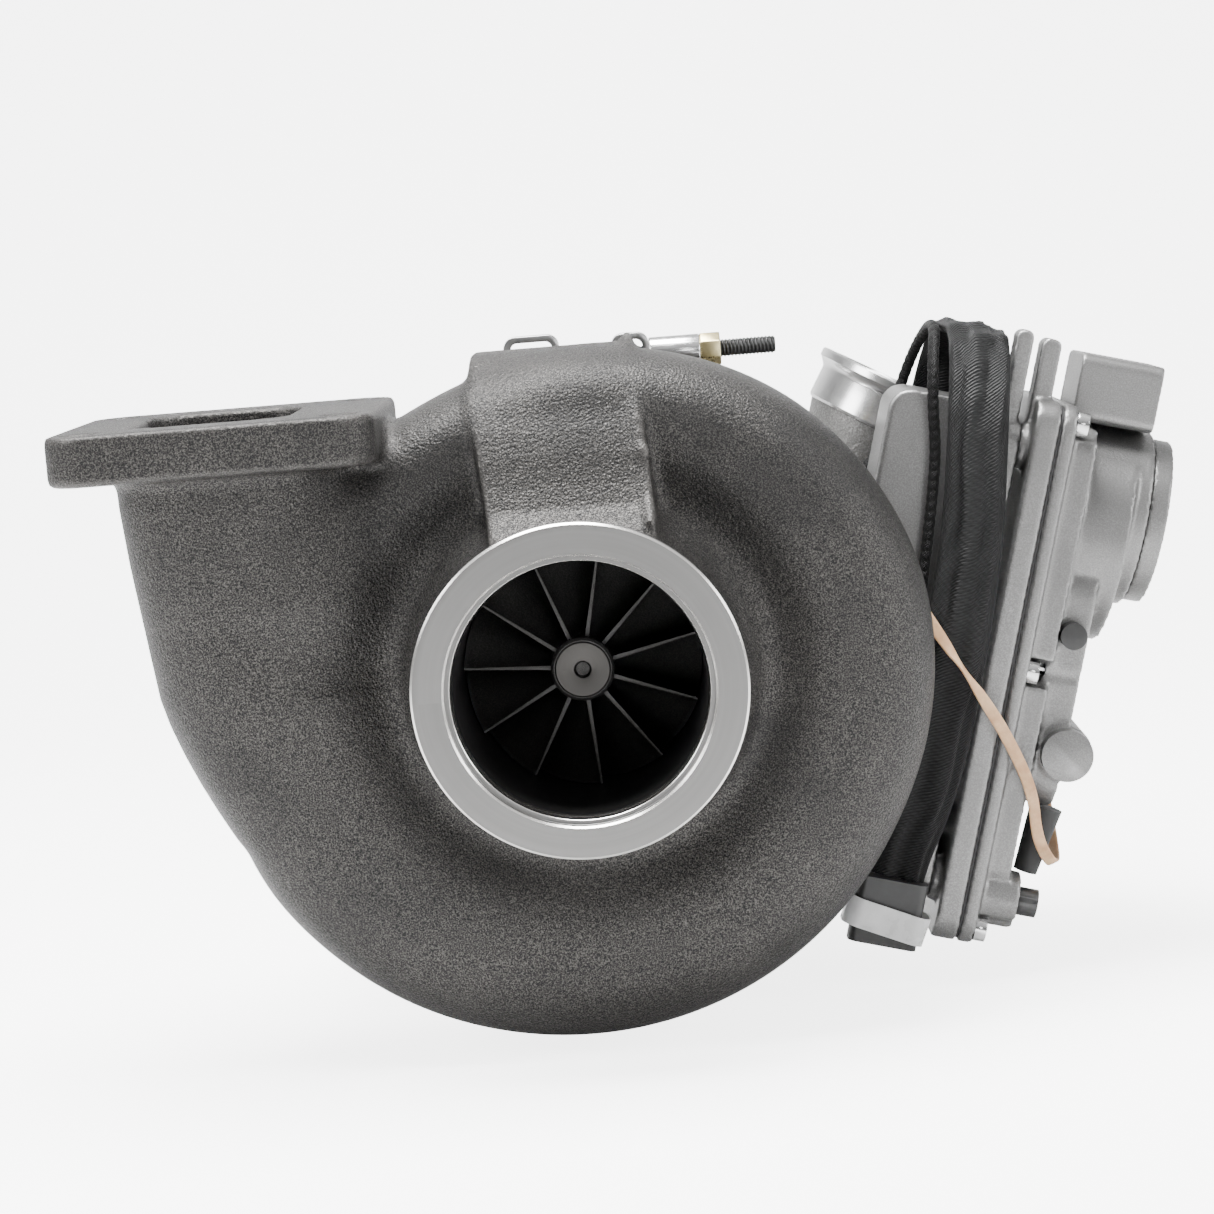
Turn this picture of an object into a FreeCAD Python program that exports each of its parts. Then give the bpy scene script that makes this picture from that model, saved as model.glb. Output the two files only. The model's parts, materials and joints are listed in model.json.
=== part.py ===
import FreeCAD, Part
import math
import os

V = FreeCAD.Vector

# Variable-nozzle turbocharger, millimetres.
# Origin: shaft axis at the face of the exhaust outlet ring.
# +Y runs along the shaft from turbine to compressor, +Z is the manifold flange normal.

# ---- driving dimensions ---------------------------------------------------
RUN_GAP = 0.05            # radial clearance of a running fit
FREE_GAP = 0.45           # clearance between parts that never touch
SLIDE_GAP = 0.4           # clearance of the nozzle ring in its chamber
LEAN = 15.1               # actuator lean about the shaft, degrees

EXDUCER_R = 39.5          # turbine wheel, gas outlet
INDUCER_R = 43.0          # turbine wheel, gas inlet
TURBINE_BLADES = 11
NOSE_Y = 53.0             # front face of the turbine wheel nose
NOSE_R = 10.5
TURBINE_BACK_Y = 100.0

OUTLET_RING_R = 53.5      # exhaust outlet ring
OUTLET_FACE_R = 42.85
OUTLET_NECK_R = 48.5
HOUSING_FRONT_Y = 34.0
VOLUTE_HALF_WIDTH = 35.5
VOLUTE_MID_Y = 71.0
VOLUTE_WALL = 6.5
VOLUTE_ROOT_R = 62.0
CORE_R = 69.0             # iron core between the duct and the volute

SLOT_PLATE_Y = 82.0       # slotted shroud plate
SLOT_PLATE_T = 1.9
SLOT_PLATE_R = 65.0
LIP_R = 46.0
RIM_Y = 86.5
JOINT_Y = 116.0           # turbine housing to bearing housing
JOINT_LIP_R = 86.0
JOINT_LIP_T = 4.2
SPIGOT_R = 78.0

NOZZLE_IN_R = 46.2
NOZZLE_OUT_R = 64.1
NOZZLE_FACE_Y = 98.0
NOZZLE_DEPTH = 14.0
NOZZLE_TRAVEL = 12.0
VANES = 14
VANE_R = 54.2
VANE_CHORD = 17.0
VANE_T = 2.8
VANE_PITCH = 62.0         # vane angle from the radius, degrees

FLANGE_X = (-165.0, -59.0)
FLANGE_Y = (15.0, 127.0)
FLANGE_Z = (75.0, 91.5)
PORT_SIZE = (52.0, 70.0)
PORT_X = -115.0
FLANGE_BOLTS = (84.0, 90.0)
FLANGE_HOLE_R = 5.5

SHAFT_R = 7.5
STUB_R = 5.5
SEAL_R = 11.6
SEAL_BORE_R = 12.0
BEARING_R = 11.0
CORE_TUBE_R = 28.0
DRUM_R = 70.0
DRUM_CAVITY_R = 63.0
DRUM_END_Y = 170.0
COMP_LIP_R = 88.0
COMP_LIP_T = 4.0
SEAL_PLATE_R = 80.0
SEAL_PLATE_Y = (170.2, 181.0)

COMP_R = 48.0             # compressor wheel, gas outlet
COMP_EYE_R = 33.0
COMP_BACK_Y = 181.6
COMP_BLADES = 7
DIFFUSER_Y = 187.6
SPIGOT_OUT_R = 50.8
SPIGOT_END_Y = 300.0
SCROLL_END_R = 29.0
SCROLL_WALL = 4.5
OUTLET_ANGLE = 30.0       # compressor outlet, degrees from +Z towards +X
OUTLET_OFFSET = 73.5
OUTLET_LENGTH = 128.0
OUTLET_RIM_R = 37.5
OUTLET_NECK = 34.3
HOSE_ROOM = 5.0           # free all round the hose that slides on the outlet
SCROLL_START_R = 12.0
SCROLL_PATH_R = 64.0
SCROLL_STEPS = 24

CROSS_Y = 150.0           # cross shaft, in the leaning frame
CROSS_V = -40.0
CROSS_R = 5.0
ARM = 24.0
SWING = 29.0
ROD_N = 52.0
ROD_R = 3.5
PIN_R = 2.5

MODULE = 1.5
SECTOR_TEETH = 80
IDLER_PINION_TEETH = 11
IDLER_TEETH = 46
MOTOR_TEETH = 18

BRACKET_N = (88.0, 124.0, 133.5)
BASE_N = (137.0, 145.5)
GASKET_T = 0.8
COVER_FLANGE_T = 5.0
HUMP_N = 171.0
PLATE_Y = (103.0, 194.0)
PLATE_V = (-78.0, 113.0)
BARREL_R = 29.0
BARREL_N = 191.0

# Silhouette of the volute: (degrees round from the inlet leg, outer radius).
VOLUTE_OUTLINE = ((0, 141), (12, 133.5), (25, 130.5), (80, 129), (110, 125), (150, 117.5), (190, 117),
                  (225, 113), (255, 107), (290, 101), (330, 103))
# Inlet leg below the flange: (height, left side, right side).
LEG_OUTLINE = ((81.0, -148.0, -75.0), (65.0, -148.0, -74.0), (45.0, -146.6, -71.0), (22.0, -144.2, -66.0))
LEG_HALF_DEPTH = 41.0
VOLUTE_STEP = 15

T_BOLT_Z = 99.2
BAND_MID_Y = JOINT_Y + 0.1

SECTOR_N = (147.5, 153.0)
IDLER_N = (154.4, 159.4)
SCREW_PLACES = ((108.5, -72), (188.5, -72), (108.5, 20), (189.5, 20), (108.5, 107), (178.5, 107))
FOOT_PLACES = ((116, -58), (168, -58), (116, 96), (168, 96))
# Gear room inside the casings.
ROOM_Y = (112.5, 187.5)
ROOM_V = (-52.0, 94.0)
BOOT_TOP = V(170.5, 128, -28.3)

SENSOR_DIR = V(math.cos(math.radians(50)), 0, math.sin(math.radians(50)))
SENSOR_Y = 139.0
LEAD_R = 2.0
SLEEVE_SIZE = (23.0, 5.0)
BAND_R = 1.1
# Thin lead: out of the speed sensor, behind the bracket, over it and down its front.
LEAD_ROUTE = ((38.8, 139, 83.5), (43, 140, 93), (50, 144, 97), (60, 151, 91), (72, 158.5, 76), (86, 166.5, 70),
              (92.5, 168, 86), (94.5, 167.5, 107), (96.3, 160, 121), (97.8, 146, 129), (98, 134, 131),
              (98.4, 121, 130.5), (99.4, 112.5, 118), (102.2, 112, 104), (106.3, 113, 89), (108.2, 113.5, 73),
              (109.7, 113.5, 56), (110.8, 114, 39), (111.5, 114.5, 22), (111.5, 115, 6))
# Flat woven sleeve: up from its gland, over the top and down in front of the casings.
SLEEVE_ROUTE = ((110.5, 168, 66), (110.5, 168, 92), (110.5, 167, 112), (111.5, 160, 131), (112.4, 138, 132),
                (113.6, 116, 131), (115.5, 101, 114), (119, 98, 90), (122.5, 97.5, 65), (124, 97.5, 40), (124.5, 98, 14),
                (124.5, 99, -12), (123, 100.4, -34), (120, 102.4, -49), (119.6, 102.6, -58))
# Rubber band: a closed loop round the bracket, the casings and the boot, front strand first.
BAND_ROUTE = ((83, 115.2, 64), (108, 92, 38), (137, 91.6, 9.5), (149, 99.4, -3.5), (161.5, 104.6, -20.5),
              (167, 110, -38), (177.5, 124, -49), (179, 150, -44), (174, 198.5, -20), (136, 198.5, 12),
              (81.5, 169, 66))

# ---- derived places ---------------------------------------------------------
OUTLET_Y = DIFFUSER_Y - 5 + SCROLL_END_R
IDLER_V = CROSS_V + MODULE * (SECTOR_TEETH + IDLER_PINION_TEETH) / 2
MOTOR_V = IDLER_V + MODULE * (IDLER_TEETH + MOTOR_TEETH) / 2
ROD_V = CROSS_V + ARM
EYE_Y = CROSS_Y + NOZZLE_TRAVEL / 2
COVER_N = BASE_N[1] + GASKET_T
COVER_FACE_N = COVER_N + COVER_FLANGE_T
X_AXIS = V(1, 0, 0)
Y_AXIS = V(0, 1, 0)
Z_AXIS = V(0, 0, 1)


# ---- small tools ------------------------------------------------------------
def lathe(points):
    """Solid of revolution about the shaft from (radius, y) corners."""
    corners = [V(r, y, 0) for r, y in points]
    face = Part.Face(Part.makePolygon(corners + [corners[0]]))
    return face.revolve(V(0, 0, 0), Y_AXIS, 360)


def disc(radius, y0, y1):
    return Part.makeCylinder(radius, y1 - y0, V(0, y0, 0), Y_AXIS)


def tube(inner, outer, y0, y1):
    return disc(outer, y0, y1).cut(disc(inner, y0 - 1, y1 + 1))


def rod(x, y, z, axis, radius, length):
    return Part.makeCylinder(radius, length, V(x, y, z), axis)


def block(x, y, z):
    """Box from three (low, high) pairs."""
    return Part.makeBox(x[1] - x[0], y[1] - y[0], z[1] - z[0], V(x[0], y[0], z[0]))


def rounded(x, y, z, radius, axis="Y"):
    """Box with the four edges along one axis rounded."""
    direction = {"X": X_AXIS, "Y": Y_AXIS, "Z": Z_AXIS}[axis]
    shape = block(x, y, z)
    edges = [e for e in shape.Edges if e.tangentAt(e.FirstParameter).cross(direction).Length < 1e-6]
    return shape.makeFillet(radius, edges)


def prism(points, axis, start, length):
    """Polygon in the plane across an axis, extruded along it."""
    if axis == "X":
        corners = [V(start, a, b) for a, b in points]
        push = X_AXIS * length
    else:
        corners = [V(a, start, b) for a, b in points]
        push = Y_AXIS * length
    return Part.Face(Part.makePolygon(corners + [corners[0]])).extrude(push)


def hexagon(x, y, z, axis, across, length):
    corners = []
    for k in range(7):
        turn = math.radians(60 * k)
        corners.append(V(across / math.sqrt(3) * math.cos(turn), across / math.sqrt(3) * math.sin(turn), 0))
    shape = Part.Face(Part.makePolygon(corners)).extrude(V(0, 0, length))
    shape.Placement = FreeCAD.Placement(V(x, y, z), FreeCAD.Rotation(Z_AXIS, axis))
    return shape


def join(shapes):
    first = shapes[0]
    if len(shapes) == 1:
        return first
    return first.fuse(shapes[1:]).removeSplitter()


def around(shape, count, start=0.0):
    """Copies of a shape turned evenly about the shaft."""
    copies = []
    for k in range(count):
        copy = shape.copy()
        copy.rotate(V(0, 0, 0), Y_AXIS, start + 360.0 * k / count)
        copies.append(copy)
    return copies


def lean(shape):
    """Turn a shape from the actuator's upright frame to its leaning place."""
    turned = shape.copy()
    turned.rotate(V(0, 0, 0), Y_AXIS, LEAN)
    return turned


def write(name, shape):
    shape.exportStep("parts/" + name + ".step")
    print(name, "solids", len(shape.Solids), "valid", shape.isValid(), "volume", round(shape.Volume))


# ---- turbine housing --------------------------------------------------------
def egg(centre, radial, half_r, half_y, power):
    """Closed smooth curve round a section: a superellipse across the shaft direction."""
    points = []
    for k in range(16):
        turn = 2 * math.pi * k / 16
        c = math.cos(turn)
        s = math.sin(turn)
        a = half_r * math.copysign(abs(c) ** (2 / power), c)
        b = half_y * math.copysign(abs(s) ** (2 / power), s)
        points.append(centre + radial * a + Y_AXIS * b)
    curve = Part.BSplineCurve()
    curve.interpolate(points, PeriodicFlag=True)
    return Part.Wire(curve.toShape())


def along(outline, place):
    """Value between the two neighbouring points of an outline."""
    for (a, first), (b, second) in zip(outline, outline[1:]):
        if a <= place <= b:
            return first + (second - first) * (place - a) / (b - a)
    return outline[-1][1]


def leg_sections(wall):
    wires = []
    for height, left, right in LEG_OUTLINE:
        centre = V((left + right) / 2, VOLUTE_MID_Y, height)
        power = 3.0 + height / 81.0
        depth = VOLUTE_HALF_WIDTH + (LEG_HALF_DEPTH - VOLUTE_HALF_WIDTH) * (height - 22) / 59
        wires.append(egg(centre, V(-1, 0, 0), (right - left) / 2 - wall, depth - wall, power))
    return wires


def volute_sections(wall, first, last):
    """Sections round the wheel, from one station to another."""
    wires = []
    for station in range(first, last + 1, VOLUTE_STEP):
        turn = math.radians(180 + station)
        radial = V(math.cos(turn), 0, math.sin(turn))
        radius = along(VOLUTE_OUTLINE, station)
        mid = (radius + VOLUTE_ROOT_R) / 2
        half = (radius - VOLUTE_ROOT_R) / 2 - wall
        width = VOLUTE_HALF_WIDTH - 4.0 * station / 330
        power = 3.0 - 0.5 * min(1.0, station / 60)
        wires.append(egg(radial * mid + Y_AXIS * VOLUTE_MID_Y, radial, half, width - wall, power))
    return wires


def gas_path(wall):
    """Inlet leg with the first half of the volute, and the second half."""
    first = Part.makeLoft(leg_sections(wall) + volute_sections(wall, 0, 180), True, True)
    second = Part.makeLoft(volute_sections(wall, 165, 330), True, True)
    return [first, second]


def vane(grow):
    """One nozzle vane seen along the shaft, as a lens; grow widens it all round."""
    half = VANE_CHORD / 2 + grow
    thick = VANE_T / 2 + grow
    tips = (V(-half, 0, 0), V(half, 0, 0))
    upper = Part.Arc(tips[0], V(0, 0, thick), tips[1]).toShape()
    lower = Part.Arc(tips[1], V(0, 0, -thick), tips[0]).toShape()
    return Part.Face(Part.Wire([upper, lower]))


def vane_solid(grow, y0, y1):
    shape = vane(grow).extrude(Y_AXIS * (y1 - y0))
    shape.rotate(V(0, 0, 0), Y_AXIS, VANE_PITCH)
    shape.translate(V(VANE_R, y0, 0))
    return shape


def turbine_housing():
    core = lathe([(0, 9), (OUTLET_NECK_R, 9), (OUTLET_NECK_R, 22), (60, HOUSING_FRONT_Y),
                  (CORE_R, HOUSING_FRONT_Y + 10), (CORE_R, RIM_Y), (0, RIM_Y)])
    ring = lathe([(0, 0), (OUTLET_RING_R - 0.8, 0), (OUTLET_RING_R, 0.8), (OUTLET_RING_R, 4.5),
                  (OUTLET_NECK_R, 9), (0, 9)])
    rear = lathe([(SPIGOT_R - 6, 96), (JOINT_LIP_R - 4, 96), (JOINT_LIP_R - 4, JOINT_Y - JOINT_LIP_T - 2),
                  (JOINT_LIP_R, JOINT_Y - JOINT_LIP_T), (JOINT_LIP_R, JOINT_Y), (SPIGOT_R - 6, JOINT_Y)])
    flange = rounded(FLANGE_X, FLANGE_Y, FLANGE_Z, 12, "Z")
    saddle = prism([(27, 40), (31, 62), (42, 84), (56, 97), (70, 104), (106.5, 104), (106.5, 40)], "X", -30, 57)
    saddle = saddle.cut(disc(CORE_R - 4, 20, 120))
    body = join([core, ring, rear, flange, saddle] + gas_path(0))
    port = rounded((PORT_X - PORT_SIZE[0] / 2, PORT_X + PORT_SIZE[0] / 2),
                   (VOLUTE_MID_Y - PORT_SIZE[1] / 2, VOLUTE_MID_Y + PORT_SIZE[1] / 2),
                   (FLANGE_Z[0] - 6, FLANGE_Z[1] + 5), 14, "Z")
    duct = lathe([(0, -1), (OUTLET_FACE_R, -1), (OUTLET_FACE_R, 3), (41.2, 3), (41.2, 8), (40.3, 12),
                  (EXDUCER_R + FREE_GAP, 50), (EXDUCER_R + FREE_GAP, 75.5), (41.6, 80.2),
                  (INDUCER_R + FREE_GAP, 84), (INDUCER_R + FREE_GAP, RIM_Y + 1), (0, RIM_Y + 1)])
    well = tube(LIP_R, SLOT_PLATE_R - 4, SLOT_PLATE_Y - 13.4, SLOT_PLATE_Y + 1)
    seat = tube(LIP_R, SLOT_PLATE_R + 0.05, SLOT_PLATE_Y, RIM_Y + 1)
    lip_top = disc(LIP_R + 0.1, SLOT_PLATE_Y + SLOT_PLATE_T + 0.1, RIM_Y + 1)
    groove = tube(SLOT_PLATE_R - 1, SLOT_PLATE_R + 1.7, 84.05, 85.65)
    throat = tube(CORE_R - 9, SPIGOT_R + 4, RIM_Y, NOZZLE_FACE_Y + 2)
    rear_bore = disc(SPIGOT_R + RUN_GAP, RIM_Y, JOINT_Y + 1)
    body = body.cut(gas_path(VOLUTE_WALL) + [port, duct, well, seat, lip_top, groove, throat, rear_bore])
    mid_x = (FLANGE_X[0] + FLANGE_X[1]) / 2
    mid_y = (FLANGE_Y[0] + FLANGE_Y[1]) / 2
    holes = []
    for sx in (-0.5, 0.5):
        for sy in (-0.5, 0.5):
            holes.append(rod(mid_x + sx * FLANGE_BOLTS[0], mid_y + sy * FLANGE_BOLTS[1], FLANGE_Z[0] - 1,
                             Z_AXIS, FLANGE_HOLE_R, FLANGE_Z[1] - FLANGE_Z[0] + 2))
    return body.cut(holes)


def shroud_plate():
    plate = tube(LIP_R + 0.05, SLOT_PLATE_R, SLOT_PLATE_Y, SLOT_PLATE_Y + SLOT_PLATE_T)
    slot = vane_solid(0.35, SLOT_PLATE_Y - 1, SLOT_PLATE_Y + SLOT_PLATE_T + 1)
    return plate.cut(around(slot, VANES))


def shroud_retaining_ring():
    ring = tube(SLOT_PLATE_R - 2.2, SLOT_PLATE_R + 1.6, 84.1, 85.6)
    return ring.cut(block((SLOT_PLATE_R - 4, SLOT_PLATE_R + 3), (83, 87), (-4, 4)))


def nozzle_ring():
    y0 = NOZZLE_FACE_Y
    face = tube(NOZZLE_IN_R, NOZZLE_OUT_R, y0, y0 + 2.4)
    inner = tube(NOZZLE_IN_R, NOZZLE_IN_R + 1.8, y0, y0 + NOZZLE_DEPTH)
    outer = tube(NOZZLE_OUT_R - 1.9, NOZZLE_OUT_R, y0, y0 + NOZZLE_DEPTH)
    vanes = around(vane_solid(0, SLOT_PLATE_Y + 0.6, y0 + 1), VANES)
    return join([face, inner, outer] + vanes)


def push_rods():
    rods = []
    for side in (-1, 1):
        stem = rod(side * ROD_N, NOZZLE_FACE_Y + 2.4, ROD_V, Y_AXIS, ROD_R, EYE_Y - 6 - NOZZLE_FACE_Y)
        foot = rod(side * ROD_N, NOZZLE_FACE_Y + 2.4, ROD_V, Y_AXIS, ROD_R + 2, 8)
        eye = rounded((side * ROD_N - 3.5, side * ROD_N + 3.5), (EYE_Y - 6, EYE_Y + 6), (ROD_V - 6.5, ROD_V + 6), 2.5, "X")
        slot = block((side * ROD_N - 5, side * ROD_N + 5), (EYE_Y - PIN_R - 0.2, EYE_Y + PIN_R + 0.2),
                     (ROD_V - 4.3, ROD_V + 3.6))
        rods.append(lean(join([stem, foot, eye]).cut(slot)))
    return Part.makeCompound(rods)


# ---- rotor ------------------------------------------------------------------
def radial_blade(stations):
    """Thin blade lofted through (y, inner radius, outer radius, angle, thickness) stations."""
    wires = []
    for y, inner, outer, angle, thick in stations:
        turn = math.radians(angle)
        out = V(math.cos(turn), 0, math.sin(turn))
        side = V(-math.sin(turn), 0, math.cos(turn)) * (thick / 2)
        base = V(0, y, 0)
        corners = [base + out * inner + side, base + out * outer + side * 0.7,
                   base + out * outer - side * 0.7, base + out * inner - side]
        wires.append(Part.makePolygon(corners + [corners[0]]))
    return Part.makeLoft(wires, True)


def turbine_wheel():
    hub = lathe([(0, NOSE_Y), (NOSE_R - 1, NOSE_Y), (NOSE_R, NOSE_Y + 1), (NOSE_R, 60), (12, 70), (16, 80), (24, 89),
                 (34, 95), (INDUCER_R - 0.2, 98), (INDUCER_R - 0.2, TURBINE_BACK_Y), (14, TURBINE_BACK_Y),
                 (11, 103), (SEAL_R, 103), (SEAL_R, 106), (0, 106)])
    hub = hub.cut(Part.makeCone(2.6, 0.6, 5, V(0, NOSE_Y - 0.1, 0), Y_AXIS))
    blade = radial_blade([(58, 8, EXDUCER_R, 46, 1.8), (66, 8, EXDUCER_R, 27, 2.0), (76, 10, EXDUCER_R, 9, 2.2),
                          (84, 16, 41.9, 2, 2.2), (91, 24, INDUCER_R, 0, 2.2), (98.5, 34, INDUCER_R, 0, 2.2)])
    contour = lathe([(0, 50), (EXDUCER_R, 50), (EXDUCER_R, 75.5), (41.1, 80.2), (INDUCER_R, 84), (INDUCER_R, 101), (0, 101)])
    return join([hub] + around(blade.common(contour), TURBINE_BLADES))


def rotor_shaft():
    shaft = lathe([(0, 106), (SEAL_R, 106), (SEAL_R, 109), (10, 109), (10, 111), (SEAL_R, 111), (SEAL_R, 115.5),
                   (SHAFT_R, 115.5), (SHAFT_R, 132), (SHAFT_R - 0.8, 133), (SHAFT_R - 0.8, 145), (SHAFT_R, 146),
                   (SHAFT_R, 160), (STUB_R, 160), (STUB_R, 231), (STUB_R - 0.8, 232), (0, 232)])
    return shaft


def thrust_collar():
    return tube(STUB_R, 9.5, 160.0, 163.6)


def oil_slinger():
    ring = lathe([(STUB_R, 167.9), (14, 167.9), (14, 169.6), (10.9, 171), (10.9, 174), (9.8, 174), (9.8, 176),
                  (10.9, 176), (10.9, COMP_BACK_Y), (STUB_R, COMP_BACK_Y)])
    return ring


def compressor_wheel():
    hub = lathe([(STUB_R, COMP_BACK_Y), (COMP_R, COMP_BACK_Y), (COMP_R, COMP_BACK_Y + 1.6), (38, 185), (28, 189),
                 (20, 195), (14, 204), (11, 213), (10, 219), (STUB_R, 219)])
    long_blade = radial_blade([(215, 9, COMP_EYE_R, -38, 0.9), (207, 11, COMP_EYE_R, -16, 1.2), (199, 15, 34, -3, 1.4),
                               (192, 22, 38, 8, 1.4), (187.1, 30, 46, 20, 1.4), (183.4, 38, COMP_R, 30, 1.4)])
    short_blade = radial_blade([(205, 11, COMP_EYE_R, -11, 1.0), (199, 15, 34, -3, 1.3),
                                (192, 22, 38, 8, 1.4), (187.1, 30, 46, 20, 1.4), (183.4, 38, COMP_R, 30, 1.4)])
    step = 360.0 / COMP_BLADES
    blades = around(long_blade, COMP_BLADES) + around(short_blade, COMP_BLADES, step / 2)
    return join([hub] + blades).cut(disc(STUB_R, COMP_BACK_Y - 1, 220))


def compressor_nut():
    nut = hexagon(0, 219, 0, Y_AXIS, 15, 8.5)
    return nut.cut(disc(STUB_R, 218, 229))


# ---- bearing housing and what it holds --------------------------------------
def cross_rod(n0, n1, radius, y=CROSS_Y, v=CROSS_V):
    """Cylinder along the cross shaft's direction, in the upright frame."""
    return rod(n0, y, v, X_AXIS, radius, n1 - n0)


def bearing_housing():
    drum = lathe([(0, 100), (SPIGOT_R, 100), (SPIGOT_R, JOINT_Y + 0.2), (JOINT_LIP_R, JOINT_Y + 0.2),
                  (JOINT_LIP_R, JOINT_Y + JOINT_LIP_T), (DRUM_R + 4, JOINT_Y + JOINT_LIP_T + 3), (DRUM_R, 128),
                  (DRUM_R, 158), (COMP_LIP_R - 6, 163), (COMP_LIP_R, DRUM_END_Y - COMP_LIP_T), (COMP_LIP_R, DRUM_END_Y),
                  (0, DRUM_END_Y)])
    oil_boss = rod(0, 145, 55, Z_AXIS, 15, 29)
    drain_boss = rounded((-37, 37), (131, 159), (-84, -60), 8, "Z")
    cross_boss = lean(join([cross_rod(52, BRACKET_N[0], 11), cross_rod(-68, -50, 11), cross_rod(50, BRACKET_N[0], 11, 150, 42)]))
    sensor_boss = Part.makeCylinder(10, 11, V(0, SENSOR_Y, 0) + SENSOR_DIR * 65, SENSOR_DIR)
    body = join([drum, oil_boss, drain_boss, cross_boss, sensor_boss])
    cuts = [disc(45.9, 99, 103.2), tube(NOZZLE_IN_R - SLIDE_GAP, NOZZLE_OUT_R + SLIDE_GAP, 99, 118),
            disc(SEAL_BORE_R, 100, 117), disc(BEARING_R + 0.03, 116.5, 160), disc(16, 132, 146),
            disc(12, 159, 165), disc(26, 164, DRUM_END_Y + 1),
            tube(CORE_TUBE_R, DRUM_CAVITY_R, 126, 158), tube(CORE_TUBE_R + 2, DRUM_CAVITY_R, 157.5, DRUM_END_Y + 1),
            rod(0, 145, -90, Z_AXIS, 12, 40), rod(0, 145, 70, Z_AXIS, 6, 20)]
    body = body.cut(cuts)
    web = block((-7, 7), (126, 157), (CORE_TUBE_R - 2, DRUM_CAVITY_R + 2))
    oil_way = rod(0, 145, 10, Z_AXIS, 3, 80)
    body = join([body, web]).cut(oil_way)
    tools = []
    for side in (-1, 1):
        tools.append(lean(rod(side * ROD_N, 116, ROD_V, Y_AXIS, ROD_R + RUN_GAP, 12)))
        tools.append(rod(side * 26, 145, -90, Z_AXIS, 4.2, 22))
    tools.append(lean(cross_rod(40, BRACKET_N[0] + 1, 8)))
    tools.append(lean(cross_rod(-62, -40, 8)))
    tools.append(lean(cross_rod(BRACKET_N[0] - 18, BRACKET_N[0] + 1, 4, 150, 42)))
    tools.append(Part.makeCylinder(5, 70, V(0, SENSOR_Y, 0) + SENSOR_DIR * 10, SENSOR_DIR))
    return body.cut(tools)


def ring_seal(bore, shaft, y0, y1):
    ring = tube(shaft + 0.4, bore, y0 + RUN_GAP, y1 - RUN_GAP)
    return ring.cut(block((shaft - 1, bore + 1), (y0 - 1, y1 + 1), (-0.3, 0.3)))


def heat_shield():
    return lathe([(13.5, 101.6), (24, 101.6), (28, 101.0), (44.5, 101.0), (44.5, 103.1), (43, 103.1), (43, 102.3),
                  (28.6, 102.3), (24.6, 103.1), (13.5, 103.1)])


def journal_bearing(y0, y1):
    bush = tube(SHAFT_R + RUN_GAP, BEARING_R, y0, y1)
    holes = []
    for k in range(6):
        turn = math.radians(60 * k + 30)
        holes.append(rod(0, (y0 + y1) / 2, 0, V(math.cos(turn), 0, math.sin(turn)), 1.2, BEARING_R + 1))
    return bush.cut(holes)


def thrust_bearing():
    plate = tube(STUB_R + 0.5, 26, 164, 167.5)
    notches = []
    for k in range(3):
        turn = math.radians(120 * k + 90)
        notches.append(rod(24 * math.cos(turn), 163, 24 * math.sin(turn), Y_AXIS, 3.5, 6))
    return plate.cut(notches)


def seal_plate():
    y0, y1 = SEAL_PLATE_Y
    plate = lathe([(SEAL_R - 0.2, 171.6), (18, 171.6), (CORE_TUBE_R + 2, y0), (SEAL_PLATE_R, y0), (SEAL_PLATE_R, 175.2),
                   (SEAL_PLATE_R - 2.6, 175.2), (SEAL_PLATE_R - 2.6, 178.2), (SEAL_PLATE_R, 178.2), (SEAL_PLATE_R, y1),
                   (SEAL_R - 0.2, y1)])
    return plate


def seal_o_ring():
    ring = Part.makeTorus(SEAL_PLATE_R - 1.25, 1.3, V(0, 176.7, 0), Y_AXIS)
    return ring


# ---- compressor housing -----------------------------------------------------
def scroll_path(wall):
    """Round passage that grows round the wheel and runs on into the straight outlet tube."""
    wires = []
    for k in range(SCROLL_STEPS + 1):
        part = k / SCROLL_STEPS
        turn = math.radians(360 * part - 360 - OUTLET_ANGLE)
        size = SCROLL_START_R + (SCROLL_END_R - SCROLL_START_R) * part
        radial = V(math.cos(turn), 0, math.sin(turn))
        centre = radial * (SCROLL_PATH_R + (OUTLET_OFFSET - SCROLL_PATH_R) * part)
        centre.y = DIFFUSER_Y - 5 + size
        wires.append(egg(centre, radial, size - wall, size - wall, 2.0))
    ahead = V(-radial.z, 0, radial.x)
    ends = [(OUTLET_LENGTH - 30, SCROLL_END_R), (OUTLET_LENGTH - 12, OUTLET_NECK), (OUTLET_LENGTH, OUTLET_NECK)]
    if wall:
        ends = [(OUTLET_LENGTH - 30, SCROLL_END_R - wall), (OUTLET_LENGTH + 1, OUTLET_RIM_R - 6)]
    for distance, size in ends:
        wires.append(egg(centre + ahead * distance, radial, size, size, 2.0))
    half = SCROLL_STEPS // 2
    return [Part.makeLoft(wires[:half + 2], True, True), Part.makeLoft(wires[half:], True, True)]


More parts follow.
